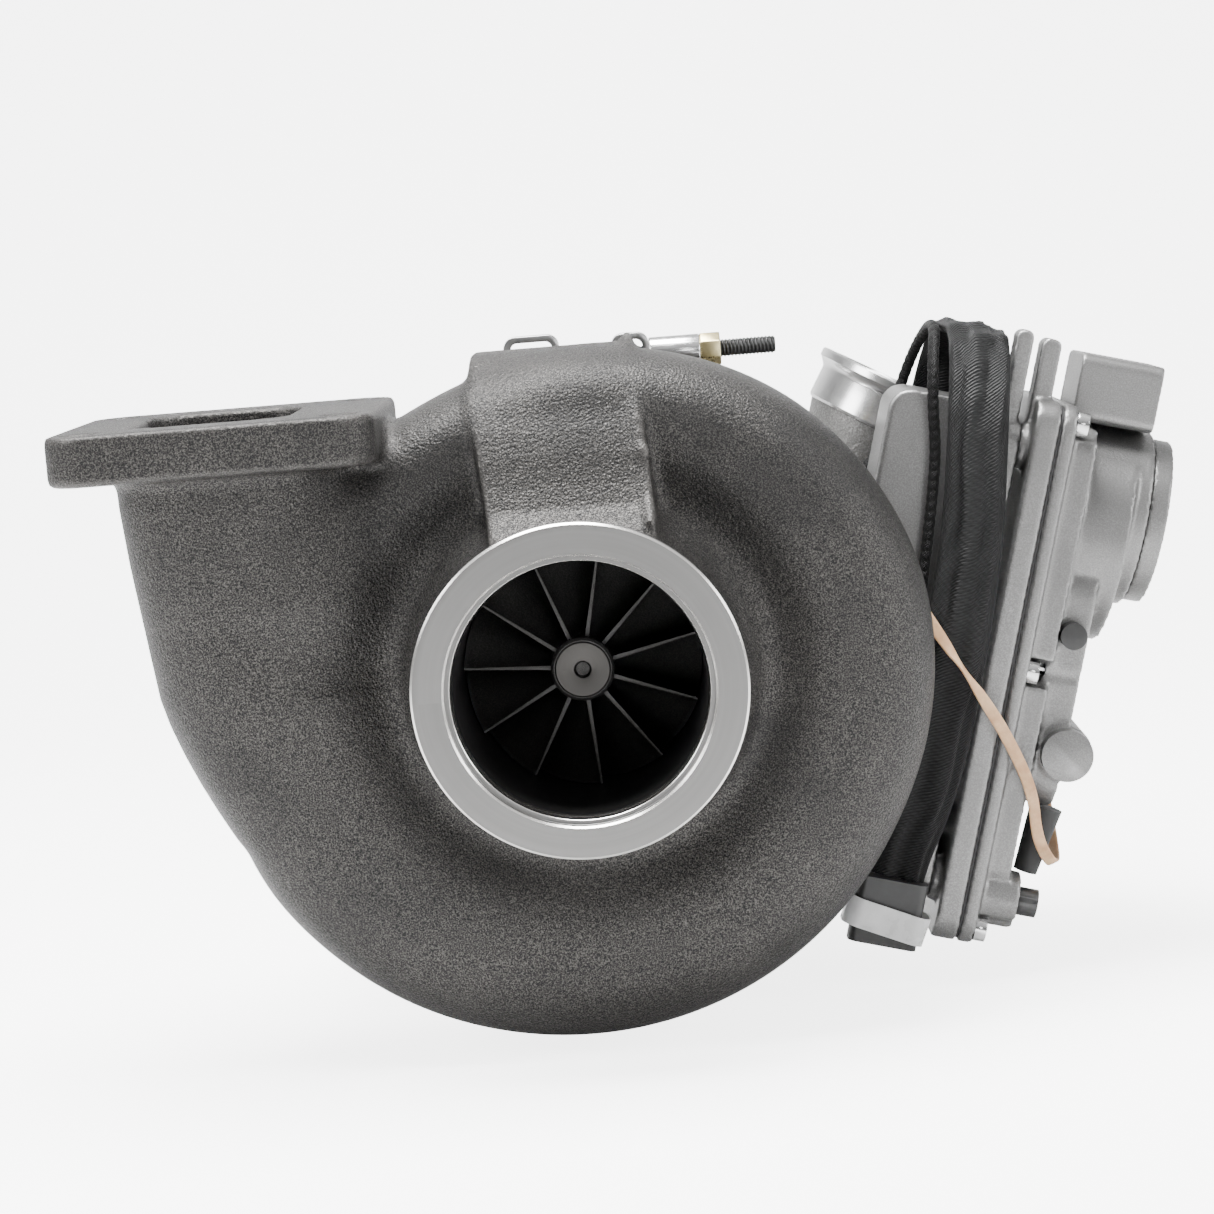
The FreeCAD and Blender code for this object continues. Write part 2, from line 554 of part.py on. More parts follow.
def compressor_housing():
    turn = math.radians(-OUTLET_ANGLE)
    end = V(math.cos(turn), 0, math.sin(turn)) * OUTLET_OFFSET
    end.y = OUTLET_Y
    ahead = V(-math.sin(turn), 0, math.cos(turn))
    rim = Part.makeCylinder(OUTLET_RIM_R, 3.3, end + ahead * (OUTLET_LENGTH - 3.3), ahead)
    rim = rim.cut(Part.makeCylinder(OUTLET_NECK - 1, 5, end + ahead * (OUTLET_LENGTH - 4), ahead))
    shell = lathe([(0, 170.2), (COMP_LIP_R, 170.2), (COMP_LIP_R, 170.2 + COMP_LIP_T), (COMP_LIP_R - 3, 176),
                   (COMP_LIP_R - 3, 184), (78, 196), (52, 214), (48, 240), (SPIGOT_OUT_R, 243),
                   (SPIGOT_OUT_R, SPIGOT_END_Y - 1.5), (SPIGOT_OUT_R - 1.5, SPIGOT_END_Y),
                   (0, SPIGOT_END_Y)])
    gas = lathe([(0, 169), (SEAL_PLATE_R + 0.1, 169), (SEAL_PLATE_R + 0.1, 181), (COMP_R + 18, 181),
                 (COMP_R + 18, DIFFUSER_Y), (COMP_R + 0.6, DIFFUSER_Y), (47, 188.2),
                 (38.9, 192.5), (34.6, 199.5), (COMP_EYE_R + 0.45, 207), (COMP_EYE_R + 0.45, 218), (37, 232),
                 (46.5, 262), (47, SPIGOT_END_Y + 1), (0, SPIGOT_END_Y + 1)])
    return join([shell, rim] + scroll_path(0)).cut([gas] + scroll_path(SCROLL_WALL))


# ---- clamps -----------------------------------------------------------------
def v_band(radius, y0, y1, gap_angle):
    """Thin band with sloping sides over two lips, split at one place."""
    foot = radius - 2.2
    band = lathe([(foot, y0 - 2.2), (radius + 0.4, y0 - 0.6), (radius + 0.4, y1 + 0.6), (foot, y1 + 2.2),
                  (foot, y1 + 4.4), (radius + 2.0, y1 + 2.4), (radius + 3.4, y1 + 1), (radius + 3.4, y0 - 1),
                  (radius + 2.0, y0 - 2.4), (foot, y0 - 4.4)])
    slit = block((-4, 4), (y0 - 8, y1 + 8), (0, radius + 10))
    slit.rotate(V(0, 0, 0), Y_AXIS, gap_angle)
    return band.cut(slit)


def turbine_v_band():
    y0 = JOINT_Y - JOINT_LIP_T
    y1 = JOINT_Y + JOINT_LIP_T
    band = v_band(JOINT_LIP_R, y0, y1, 5.5)
    loops = []
    for x0, x1, top in ((-20.0, -1.0, 108.6), (17.0, 30.0, 107.0)):
        mid = (x0 + x1) / 2
        low = math.sqrt((JOINT_LIP_R + 3.4) ** 2 - max(abs(x0), abs(x1)) ** 2) - 0.6
        outer = rounded((x0, x1), (y0 + 0.2, y1 - 0.2), (low, top), 4, "Y")
        hole = rounded((x0 + 2.2, x1 - 2.2), (y0 - 1, y1 + 1), (low + 3.4, top - 2.2), 2.5, "Y")
        bolt_way = rod(mid - 20, BAND_MID_Y, T_BOLT_Z, X_AXIS, 3.6, 40)
        loops.append(outer.cut([hole, bolt_way, disc(JOINT_LIP_R + 3.3, 100, 130)]))
    return Part.makeCompound([band] + loops)


def t_bolt():
    stud = rod(-9, BAND_MID_Y, T_BOLT_Z, X_AXIS, 3.1, 82.5)
    head = rod(-10.5, BAND_MID_Y - 3.4, T_BOLT_Z, Y_AXIS, 4.2, 6.8)
    return join([stud, head])


def trunnion_sleeve():
    sleeve = rod(30, BAND_MID_Y, T_BOLT_Z, X_AXIS, 5.6, 17.5)
    return sleeve.cut(rod(29, BAND_MID_Y, T_BOLT_Z, X_AXIS, 3.15, 20))


def clamp_nut():
    nut = hexagon(47.5, BAND_MID_Y, T_BOLT_Z, X_AXIS, 10, 7)
    return nut.cut(rod(47, BAND_MID_Y, T_BOLT_Z, X_AXIS, 3.1, 9))


def compressor_v_band():
    y0 = DRUM_END_Y - COMP_LIP_T
    y1 = DRUM_END_Y + 0.2 + COMP_LIP_T
    band = v_band(COMP_LIP_R, y0, y1, 270)
    ears = []
    for z0, z1 in ((-10, -5.5), (5.5, 10)):
        ear = block((-COMP_LIP_R - 20, -COMP_LIP_R - 2.8), (y0, y1), (z0, z1))
        ears.append(ear.cut([rod(-COMP_LIP_R - 12, 170.1, z0 - 1, Z_AXIS, 3.3, 7), disc(COMP_LIP_R + 3.3, 150, 190)]))
    return Part.makeCompound([band] + ears)


def compressor_clamp_bolt():
    x = -COMP_LIP_R - 12
    head = hexagon(x, 170.1, 10, Z_AXIS, 10, 5)
    return join([rod(x, 170.1, -20, Z_AXIS, 3, 31), head])


def compressor_clamp_nut():
    x = -COMP_LIP_R - 12
    return hexagon(x, 170.1, -16, Z_AXIS, 10, 6).cut(rod(x, 170.1, -17, Z_AXIS, 3, 8))


# ---- vane drive -------------------------------------------------------------
def cross_shaft():
    return lean(cross_rod(-61, BASE_N[1] + 10, CROSS_R))


def yoke():
    """U-shaped fork fixed on the cross shaft; at rest it leans half its swing to +Y."""
    sleeve = cross_rod(-41, 41, 7)
    parts = [sleeve]
    for side in (-1, 1):
        near = 34 * side
        far = 41 * side
        arm = block((min(near, far), max(near, far)), (CROSS_Y - 4, CROSS_Y + 4), (CROSS_V, CROSS_V + ARM))
        tip = rod(min(near, far), CROSS_Y, CROSS_V + ARM, X_AXIS, 4, 7)
        pin = rod(min(far, 55.3 * side), CROSS_Y, CROSS_V + ARM, X_AXIS, PIN_R, 14.3)
        parts.extend([arm, tip, pin])
    fork = join(parts)
    fork = fork.cut(cross_rod(-42, 42, CROSS_R))
    fork.rotate(V(0, CROSS_Y, CROSS_V), X_AXIS, -SWING / 2)
    return lean(fork)


def cross_bushes():
    long_bush = cross_rod(50, 84, 8).cut(cross_rod(49, 85, CROSS_R + RUN_GAP))
    short_bush = cross_rod(-60.5, -49, 8).cut(cross_rod(-62, -48, CROSS_R + RUN_GAP))
    return Part.makeCompound([lean(long_bush), lean(short_bush)])


def cross_seal():
    return lean(cross_rod(84.4, 87.8, 8).cut(cross_rod(84, 88, CROSS_R + 0.1)))


def gear_outline(teeth, thin):
    """Closed outline of a spur gear in the (a, b) plane: involute flanks, teeth thinned for backlash."""
    pitch_r = MODULE * teeth / 2
    base_r = pitch_r * math.cos(math.radians(20))
    tip_r = pitch_r + MODULE * 0.9
    root_r = pitch_r - MODULE * 1.25
    half_tooth = (math.pi / 2 - thin) / teeth
    inv = math.tan(math.radians(20)) - math.radians(20)

    def half_angle(radius):
        if radius <= base_r:
            return half_tooth + inv
        press = math.acos(base_r / radius)
        return half_tooth + inv - (math.tan(press) - press)

    flank = [root_r, max(base_r, root_r + 0.1), (max(base_r, root_r) + tip_r) / 2, tip_r]
    points = []
    for k in range(teeth):
        mid = 2 * math.pi * k / teeth
        for radius in flank:
            points.append((radius, mid - half_angle(radius)))
        for radius in reversed(flank):
            points.append((radius, mid + half_angle(radius)))
    return points


def gear(teeth, n0, n1, v, turn, thin=0.15):
    """Spur gear along the cross-shaft direction, first tooth turned from +v towards +Y."""
    points = []
    for radius, angle in gear_outline(teeth, thin):
        a = angle + math.radians(turn)
        points.append(V(n0, CROSS_Y + radius * math.sin(a), v + radius * math.cos(a)))
    return Part.Face(Part.makePolygon(points + [points[0]])).extrude(X_AXIS * (n1 - n0))


def sector_gear():
    """Toothed sector about the cross shaft, centred on its travel."""
    wheel = gear(SECTOR_TEETH, SECTOR_N[0], SECTOR_N[1], CROSS_V, 0)
    reach = MODULE * SECTOR_TEETH / 2 + 4
    half = math.radians(SWING / 2 + 5.5)
    wedge = [(CROSS_Y - 9, CROSS_V - 9), (CROSS_Y + 9, CROSS_V - 9)]
    for sign in (1, -1):
        wedge.append((CROSS_Y + sign * reach * math.sin(half), CROSS_V + reach * math.cos(half)))
    wedge_shape = prism(wedge, "X", SECTOR_N[0], SECTOR_N[1] - SECTOR_N[0])
    sector = join([wheel.common(wedge_shape), cross_rod(SECTOR_N[0], SECTOR_N[1], 10)])
    sector = sector.cut(cross_rod(SECTOR_N[0] - 1, SECTOR_N[1] + 1, CROSS_R))
    return sector


def turned_sector():
    """Sector turned to the open end of the travel by whole teeth, so that it stays in mesh."""
    step = 360.0 / SECTOR_TEETH
    sector = sector_gear()
    sector.rotate(V(0, CROSS_Y, CROSS_V), X_AXIS, -step * round(SWING / 2 / step))
    return lean(sector)


def idler_gear():
    """Wheel and pinion in one piece: the pinion meets the sector, the wheel meets the motor pinion."""
    pinion = gear(IDLER_PINION_TEETH, SECTOR_N[0], IDLER_N[0], IDLER_V, 180.0 + 180.0 / IDLER_PINION_TEETH)
    wheel = gear(IDLER_TEETH, IDLER_N[0], IDLER_N[1], IDLER_V, 0)
    axle = cross_rod(BASE_N[1] + 0.9, HUMP_N - 4, 3, CROSS_Y, IDLER_V)
    return lean(join([pinion, wheel, axle]))


def motor_rotor():
    """Motor shaft with its pinion and armature."""
    pinion = gear(MOTOR_TEETH, IDLER_N[0], IDLER_N[1], MOTOR_V, 180.0 + 180.0 / MOTOR_TEETH)
    shaft = cross_rod(IDLER_N[0], 186, 2.5, CROSS_Y, MOTOR_V)
    armature = cross_rod(166, 182, 14, CROSS_Y, MOTOR_V)
    return lean(join([pinion, shaft, armature]))


def motor_can():
    can = cross_rod(162.5, 187, 25.5, CROSS_Y, MOTOR_V)
    can = can.cut(cross_rod(164, 184.5, 15, CROSS_Y, MOTOR_V))
    can = can.cut(cross_rod(162, 188, 2.55, CROSS_Y, MOTOR_V))
    return lean(can)


# ---- actuator casings -------------------------------------------------------


def n_plate(n, y, v, radius):
    """Plate across the cross-shaft direction with rounded corners."""
    return rounded(n, y, v, radius, "X")


def hose_way():
    """Room for the hose on the compressor outlet, straight out from its rim."""
    turn = math.radians(OUTLET_ANGLE)
    ahead = V(math.sin(turn), 0, math.cos(turn))
    side = V(math.cos(turn), 0, -math.sin(turn))
    start = side * OUTLET_OFFSET + ahead * (OUTLET_LENGTH - 12) + Y_AXIS * OUTLET_Y
    return Part.makeCylinder(OUTLET_RIM_R + HOSE_ROOM, OUTLET_LENGTH, start, ahead)


def actuator_bracket():
    column = rounded((BRACKET_N[0], BRACKET_N[1] + 0.01), (120, 162), (24, 108), 8, "Y")
    tower = cross_rod(BRACKET_N[0], BRACKET_N[1], 24)
    foot = n_plate((BRACKET_N[1], BRACKET_N[2]), (108, 176), (-66, 104), 8)
    ear = rounded((126, 132), (112, 124), (96, 135.5), 2.5, "Y")
    body = join([column, tower, foot, ear])
    cuts = [cross_rod(BRACKET_N[0] - 1, BRACKET_N[2] + 1, CROSS_R + 0.6), cross_rod(BRACKET_N[0] + 3, BRACKET_N[1] - 4, 17),
            rounded((BRACKET_N[0] + 6, BRACKET_N[1] - 5), (126, 158.2), (32, 98), 6, "X"),
            cross_rod(BRACKET_N[0] - 1, BRACKET_N[0] + 7, 4.3, 150, 42), disc(COMP_LIP_R + 5, 158, 183)]
    for y, v in FOOT_PLACES:
        cuts.append(cross_rod(BRACKET_N[1] - 1, BRACKET_N[2] + 1, 3.05, y, v))
    return lean(body.cut(cuts)).cut(hose_way())


def actuator_base():
    plate = n_plate(BASE_N, PLATE_Y, PLATE_V, 9)
    ear = rounded((135.2, 142), (113, 126), (100, 134), 2.5, "Y")
    parts = [plate, ear]
    for y, v in FOOT_PLACES:
        parts.append(cross_rod(BRACKET_N[2], BASE_N[0] + 0.1, 8, y, v))
    body = join(parts)
    body = body.cut(n_plate((BASE_N[0] + 4, BASE_N[1] + 1), ROOM_Y, ROOM_V, 10))
    boss = cross_rod(BASE_N[0] + 3, BASE_N[1] - 0.5, 10)
    idler_boss = cross_rod(BASE_N[0] + 3, BASE_N[1] + 0.5, 6, CROSS_Y, IDLER_V)
    body = join([body, boss, idler_boss])
    body = body.cut([cross_rod(BASE_N[0] - 5, BASE_N[1] + 1, CROSS_R + RUN_GAP), cross_rod(BASE_N[1] - 3, BASE_N[1] + 2, 3 + RUN_GAP, CROSS_Y, IDLER_V)])
    drills = [cross_rod(BRACKET_N[2] - 1, BASE_N[1] + 1, 3.05, y, v) for y, v in FOOT_PLACES]
    drills += [cross_rod(BASE_N[0] + 1, BASE_N[1] + 1, 2.05, y, v) for y, v in SCREW_PLACES]
    return lean(body.cut(drills)).cut(hose_way())


def actuator_gasket():
    gasket = n_plate((BASE_N[1], COVER_N), (PLATE_Y[0] + 1, PLATE_Y[1] - 1), (PLATE_V[0] + 1, PLATE_V[1] - 1), 8)
    gasket = gasket.cut(n_plate((BASE_N[1] - 1, COVER_N + 1), ROOM_Y, ROOM_V, 10))
    holes = [cross_rod(BASE_N[1] - 1, COVER_N + 1, 2.3, y, v) for y, v in SCREW_PLACES]
    for y, v in FOOT_PLACES:
        holes.append(cross_rod(BASE_N[1] - 1, COVER_N + 1, 5.6, y, v))
    return lean(gasket.cut(holes)).cut(hose_way())


def actuator_cover():
    flange = n_plate((COVER_N, COVER_FACE_N), PLATE_Y, PLATE_V, 9)
    step_one = n_plate((COVER_FACE_N, 160), (107, 191), (-58, 106), 9)
    step_two = n_plate((160, HUMP_N), (113, 187), (-27, 60), 12)
    shoulder = cross_rod(150, 178, 37, CROSS_Y, MOTOR_V - 8).common(block((150, 178), (100, 200), (28, 112)))
    barrel = cross_rod(150, 184, BARREL_R + 2, CROSS_Y, MOTOR_V)
    side_boss = rod(HUMP_N, 112, -6.3, Y_AXIS, 9.5, 76)
    low_boss = cross_rod(COVER_FACE_N - 1, 164.6, 10, 116, -61)
    parts = [flange, step_one, step_two, shoulder, barrel, side_boss, low_boss]
    body = join(parts)
    hollow = n_plate((COVER_N - 1, 157), ROOM_Y, ROOM_V, 10)
    gear_room = cross_rod(150, 160, MODULE * IDLER_TEETH / 2 + 2.6, CROSS_Y, IDLER_V)
    can_room = cross_rod(156, 192, 26, CROSS_Y, MOTOR_V)
    idler_end = cross_rod(160, HUMP_N - 3.5, 3 + RUN_GAP, CROSS_Y, IDLER_V)
    body = body.cut([hollow, gear_room, can_room, idler_end, cross_rod(155, 172, 4.1, 116, -61)])
    drills = [cross_rod(COVER_N - 1, 162, 2.3, y, v) for y, v in SCREW_PLACES]
    drills += [cross_rod(COVER_FACE_N, 175, 4.9, y, v) for y, v in SCREW_PLACES]
    for y, v in FOOT_PLACES:
        drills.append(cross_rod(COVER_N - 1, COVER_FACE_N - 1.6, 5.6, y, v))
    return lean(body.cut(drills)).cut(hose_way())


def motor_end_cap():
    cap = cross_rod(184.2, BARREL_N, BARREL_R, CROSS_Y, MOTOR_V)
    cap = cap.cut(cross_rod(183, 187.4, 26, CROSS_Y, MOTOR_V))
    return lean(cap)


def circuit_board():
    return lean(n_plate((150.2, 151.8), (164, 182), (56, 82), 2))


def connector_box():
    box = rounded((152, 181), (128, 168), (107.5, 131), 4, "X")
    box = box.cut(rounded((165, 182), (133, 163), (112, 127), 3, "X"))
    return lean(box)


def cover_screws():
    screws = []
    for y, v in SCREW_PLACES:
        shank = cross_rod(BASE_N[0] + 2, COVER_FACE_N, 2, y, v)
        head = cross_rod(COVER_FACE_N, COVER_FACE_N + 4, 4.2, y, v)
        screws.append(lean(join([shank, head]).cut(hexagon(COVER_FACE_N + 2, y, v, X_AXIS, 3.4, 3))))
    return Part.makeCompound(screws)


def mounting_screws():
    screws = []
    for y, v in FOOT_PLACES:
        shank = cross_rod(BRACKET_N[1], BASE_N[1], 3, y, v)
        head = cross_rod(BASE_N[1], BASE_N[1] + 3.6, 5, y, v)
        screws.append(lean(join([shank, head]).cut(hexagon(BASE_N[1] + 1.4, y, v, X_AXIS, 4, 4))))
    return Part.makeCompound(screws)


# ---- fittings and harness, placed in the upright frame (n, y, v) -------------
def smooth_wire(points):
    """Straight runs joined by tangent arcs, as large as the runs allow; prints the smallest radius."""
    spots = [V(*point) for point in points]
    edges = []
    here = spots[0]
    radii = []
    for before, corner, after in zip(spots, spots[1:], spots[2:]):
        into = corner - before
        out = after - corner
        shorter = min(into.Length, out.Length)
        half_turn = into.getAngle(out) / 2
        reach = 0.45 * shorter
        radii.append(reach / math.tan(half_turn))
        into.normalize()
        out.normalize()
        first = corner - into * reach
        last = corner + out * reach
        inner = (first + last) * 0.5
        depth = radii[-1] * (1 / math.cos(half_turn) - 1)
        away = inner - corner
        away.normalize()
        edges.append(Part.LineSegment(here, first).toShape())
        edges.append(Part.Arc(first, corner + away * depth, last).toShape())
        here = last
    edges.append(Part.LineSegment(here, spots[-1]).toShape())
    print("smallest radius", round(min(radii), 1), "length", round(sum(e.Length for e in edges), 1))
    return Part.Wire(edges)


def sweep(path, profile, upright=None):
    maker = Part.BRepOffsetAPI.MakePipeShell(path)
    if upright is not None:
        maker.setBiNormalMode(upright)
    maker.add(profile)
    maker.build()
    maker.makeSolid()
    shape = maker.shape()
    flat = Part.Face(profile).Area * path.Length
    print("sweep volume", round(shape.Volume), "section by length", round(flat))
    return shape


def round_cord(route, radius):
    path = smooth_wire(route)
    first = path.OrderedEdges[0]
    start = first.valueAt(first.FirstParameter)
    profile = Part.Wire(Part.makeCircle(radius, start, first.tangentAt(first.FirstParameter)))
    return sweep(path, profile)


def sensor_lead():
    return lean(round_cord(LEAD_ROUTE, LEAD_R))


def harness_sleeve():
    path = smooth_wire(SLEEVE_ROUTE)
    n, y, v = SLEEVE_ROUTE[0]
    wide, thick = SLEEVE_SIZE
    corners = [V(n + a * wide / 2, y + b * thick / 2, v) for a, b in ((-1, -1), (1, -1), (1, 1), (-1, 1), (-1, -1))]
    return lean(sweep(path, Part.makePolygon(corners), X_AXIS))


def middle(a, b):
    return tuple((p + q) / 2 for p, q in zip(a, b))


def rubber_band():
    """Two halves of the loop, which meet end to end."""
    left = middle(BAND_ROUTE[0], BAND_ROUTE[-1])
    right = middle(BAND_ROUTE[6], BAND_ROUTE[7])
    front = round_cord((left,) + BAND_ROUTE[:7] + (right,), BAND_R)
    back = round_cord((right,) + BAND_ROUTE[7:] + (left,), BAND_R)
    return lean(Part.makeCompound([front, back]))


def speed_sensor():
    """Probe through the drum to the shaft, with a hexagon and a stub for its lead."""
    base = V(0, SENSOR_Y, 0)
    probe = Part.makeCylinder(5, 62, base + SENSOR_DIR * 9, SENSOR_DIR)
    head = hexagon(0, 0, 0, Z_AXIS, 17, 6)
    head.Placement = FreeCAD.Placement(base + SENSOR_DIR * 76.2, FreeCAD.Rotation(Z_AXIS, SENSOR_DIR))
    neck = Part.makeCylinder(5, 6, base + SENSOR_DIR * 70.5, SENSOR_DIR)
    stub = Part.makeCone(5.5, 3, 10, base + SENSOR_DIR * 82, SENSOR_DIR)
    return join([probe, neck, head, stub])


def sensor_connector():
    n, y, v = LEAD_ROUTE[-1]
    return lean(rounded((n - 5, n + 5), (y - 4, y + 3.5), (v - 26, v), 2, "Z"))


def harness_gland():
    n, y, v = SLEEVE_ROUTE[0]
    return lean(rounded((n - 14.5, n + 12), (162, y + 5.5), (v - 16, v), 3, "Z"))


def harness_connector():
    """Moulded plug on the sleeve's lower end."""
    n, y, v = SLEEVE_ROUTE[-1]
    return lean(rounded((n - 12, n + 12), (y - 6, y + 4.6), (v - 24, v - 0.7), 3, "Z"))


def label_strip():
    """Thin loop of tape round the plug."""
    n, y, v = SLEEVE_ROUTE[-1]
    outer = rounded((n - 14.8, n + 14.8), (y - 8, y + 8.5), (v - 20, v - 10), 6, "Z")
    inner = rounded((n - 14.2, n + 14.2), (y - 7.4, y + 7.9), (v - 21, v - 9), 5.4, "Z")
    loop = outer.cut(inner)
    loop.rotate(V(n, y, v - 15), Y_AXIS, 8)
    return lean(loop)


def blanking_boot():
    return lean(Part.makeCone(5.8, 4.2, 24, BOOT_TOP, V(-0.12, 0, -1)))


def round_plug():
    return lean(rod(HUMP_N, 106, -6.3, Y_AXIS, 9, 6))


def small_cap():
    return lean(rod(165, 106.5, 35, Y_AXIS, 4.6, 6.5))


def socket_screw():
    shank = cross_rod(156, 164.6, 4, 116, -61)
    head = cross_rod(164.6, 172, 5, 116, -61)
    return lean(join([shank, head]).cut(hexagon(168, 116, -61, X_AXIS, 4, 6)))


def bracket_bolt():
    shank = cross_rod(BRACKET_N[0] - 16, BRACKET_N[0] + 6, 4, 150, 42)
    head = hexagon(BRACKET_N[0] + 6, 150, 42, X_AXIS, 13, 5)
    return lean(join([shank, head]))


def main():
    os.makedirs("parts", exist_ok=True)
    write("turbine_housing", turbine_housing())
    write("shroud_plate", shroud_plate())
    write("shroud_retaining_ring", shroud_retaining_ring())
    write("nozzle_ring", nozzle_ring())
    write("push_rods", push_rods())
    write("turbine_wheel", turbine_wheel())
    write("rotor_shaft", rotor_shaft())
    write("thrust_collar", thrust_collar())
    write("oil_slinger", oil_slinger())
    write("compressor_wheel", compressor_wheel())
    write("compressor_nut", compressor_nut())
    write("bearing_housing", bearing_housing())
    write("turbine_ring_seal", ring_seal(SEAL_BORE_R, 10, 109, 111))
    write("compressor_ring_seal", ring_seal(SEAL_R - 0.2, 9.8, 174, 176))
    write("heat_shield", heat_shield())
    write("turbine_bearing", journal_bearing(117, 131))
    write("compressor_bearing", journal_bearing(147, 159))
    write("thrust_bearing", thrust_bearing())
    write("seal_plate", seal_plate())
    write("seal_o_ring", seal_o_ring())
    write("compressor_housing", compressor_housing())
    write("turbine_v_band", turbine_v_band())
    write("t_bolt", t_bolt())
    write("trunnion_sleeve", trunnion_sleeve())
    write("clamp_nut", clamp_nut())
    write("compressor_v_band", compressor_v_band())
    write("compressor_clamp_bolt", compressor_clamp_bolt())
    write("compressor_clamp_nut", compressor_clamp_nut())
    write("cross_shaft", cross_shaft())
    write("yoke", yoke())
    write("cross_bushes", cross_bushes())
    write("cross_seal", cross_seal())
    write("sector_gear", turned_sector())
    write("idler_gear", idler_gear())
    write("motor_rotor", motor_rotor())
    write("motor_can", motor_can())
    write("actuator_bracket", actuator_bracket())
    write("actuator_base", actuator_base())
    write("actuator_gasket", actuator_gasket())
    write("actuator_cover", actuator_cover())
    write("motor_end_cap", motor_end_cap())
    write("circuit_board", circuit_board())
    write("connector_box", connector_box())
    write("cover_screws", cover_screws())
    write("mounting_screws", mounting_screws())
    write("sensor_lead", sensor_lead())
    write("harness_sleeve", harness_sleeve())
    write("rubber_band", rubber_band())
    write("speed_sensor", speed_sensor())
    write("sensor_connector", sensor_connector())
    write("harness_gland", harness_gland())
    write("harness_connector", harness_connector())
    write("label_strip", label_strip())
    write("blanking_boot", blanking_boot())
    write("round_plug", round_plug())
    write("small_cap", small_cap())
    write("socket_screw", socket_screw())
    write("bracket_bolt", bracket_bolt())


main()
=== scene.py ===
"""Looks of a variable-geometry turbocharger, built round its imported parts. Metres, shaft along +Y, +Z up."""
import bpy
import bmesh
import json
import math
import numpy as np
from mathutils import Matrix, Vector


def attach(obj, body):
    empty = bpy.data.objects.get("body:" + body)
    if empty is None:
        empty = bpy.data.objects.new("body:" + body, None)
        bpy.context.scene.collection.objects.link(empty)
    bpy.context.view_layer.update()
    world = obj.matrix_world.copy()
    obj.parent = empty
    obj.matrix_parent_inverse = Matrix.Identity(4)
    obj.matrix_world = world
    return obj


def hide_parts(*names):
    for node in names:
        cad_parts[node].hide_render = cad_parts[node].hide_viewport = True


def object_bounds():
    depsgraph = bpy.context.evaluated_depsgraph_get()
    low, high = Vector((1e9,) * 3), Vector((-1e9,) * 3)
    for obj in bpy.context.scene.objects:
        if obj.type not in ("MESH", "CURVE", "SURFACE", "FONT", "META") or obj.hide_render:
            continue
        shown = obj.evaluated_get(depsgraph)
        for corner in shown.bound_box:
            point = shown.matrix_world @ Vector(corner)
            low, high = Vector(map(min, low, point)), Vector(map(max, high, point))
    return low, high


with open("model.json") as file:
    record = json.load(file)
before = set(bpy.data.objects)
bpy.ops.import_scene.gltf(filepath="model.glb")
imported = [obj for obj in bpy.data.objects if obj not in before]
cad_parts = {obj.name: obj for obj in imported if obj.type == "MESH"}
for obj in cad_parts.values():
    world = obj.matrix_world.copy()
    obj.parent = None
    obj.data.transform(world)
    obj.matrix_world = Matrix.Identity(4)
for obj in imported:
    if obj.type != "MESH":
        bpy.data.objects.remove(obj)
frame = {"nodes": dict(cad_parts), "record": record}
cad_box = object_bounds()

MM = 0.001
LEAN = math.radians(15.1)      # the actuator and harness lean this far about the shaft
NODES = frame["nodes"]
SLOT_OF = {part["node"]: part["material_slot"] for part in frame["record"]["subparts"]}
BODY_OF = {node: body for body, nodes in frame["record"]["behaviour"]["bodies"].items() for node in nodes}


# ---- meshes from arrays ------------------------------------------------------
def leaned(points):
    """Upright (n, y, v) in mm turned about the shaft into the row frame, in metres."""
    n, y, v = np.asarray(points, float).T
    return np.stack([n * math.cos(LEAN) + v * math.sin(LEAN), y, v * math.cos(LEAN) - n * math.sin(LEAN)], 1) * MM


def grid_faces(rows, columns, close_rows=False, close_columns=True):
    """Four-sided faces between neighbours of a rows x columns grid of points."""
    r = np.arange(rows if close_rows else rows - 1)[:, None]
    c = np.arange(columns if close_columns else columns - 1)[None, :]
    r1 = (r + 1) % rows
    c1 = (c + 1) % columns
    return np.stack(np.broadcast_arrays(r * columns + c, r * columns + c1, r1 * columns + c1, r1 * columns + c), -1).reshape(-1, 4)


def piece(name, points, faces, body, finish, sharp=35.0, weld=True, stands_for=()):
    """A mesh object made from arrays; doubles are merged and faces turned outwards where weld is set."""
    mesh = bpy.data.meshes.new(name)
    mesh.from_pydata(np.asarray(points, float), [], faces if isinstance(faces, list) else faces.tolist())
    if weld:
        work = bmesh.new()
        work.from_mesh(mesh)
        bmesh.ops.remove_doubles(work, verts=work.verts, dist=2e-6)
        bmesh.ops.dissolve_degenerate(work, edges=work.edges, dist=1e-6)
        bmesh.ops.recalc_face_normals(work, faces=work.faces)
        work.to_mesh(mesh)
        work.free()
    mesh.validate()
    mesh.shade_smooth()
    mesh.set_sharp_from_angle(angle=math.radians(sharp))
    thing = bpy.data.objects.new(name, mesh)
    bpy.context.scene.collection.objects.link(thing)
    mesh.materials.append(finish)
    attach(thing, body)
    if stands_for:
        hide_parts(*stands_for)
    return thing


def turned(profile, steps=128, axis_point=(0, 0, 0), axis=(0, 1, 0)):
    """Closed outline of (radius, height) in mm carried round an axis: points and faces."""
    outline = np.asarray(profile, float)
    along = Vector(axis).normalized()
    side = along.orthogonal().normalized()
    other = along.cross(side)
    angle = np.linspace(0, 2 * math.pi, steps, endpoint=False)
    ring = np.outer(np.cos(angle), side) + np.outer(np.sin(angle), other)
    points = outline[:, None, 0:1] * ring[None] + outline[:, None, 1:2] * np.array(along)[None, None] + np.array(axis_point, float)
    return points.reshape(-1, 3) * MM, grid_faces(len(outline), steps, close_rows=True)


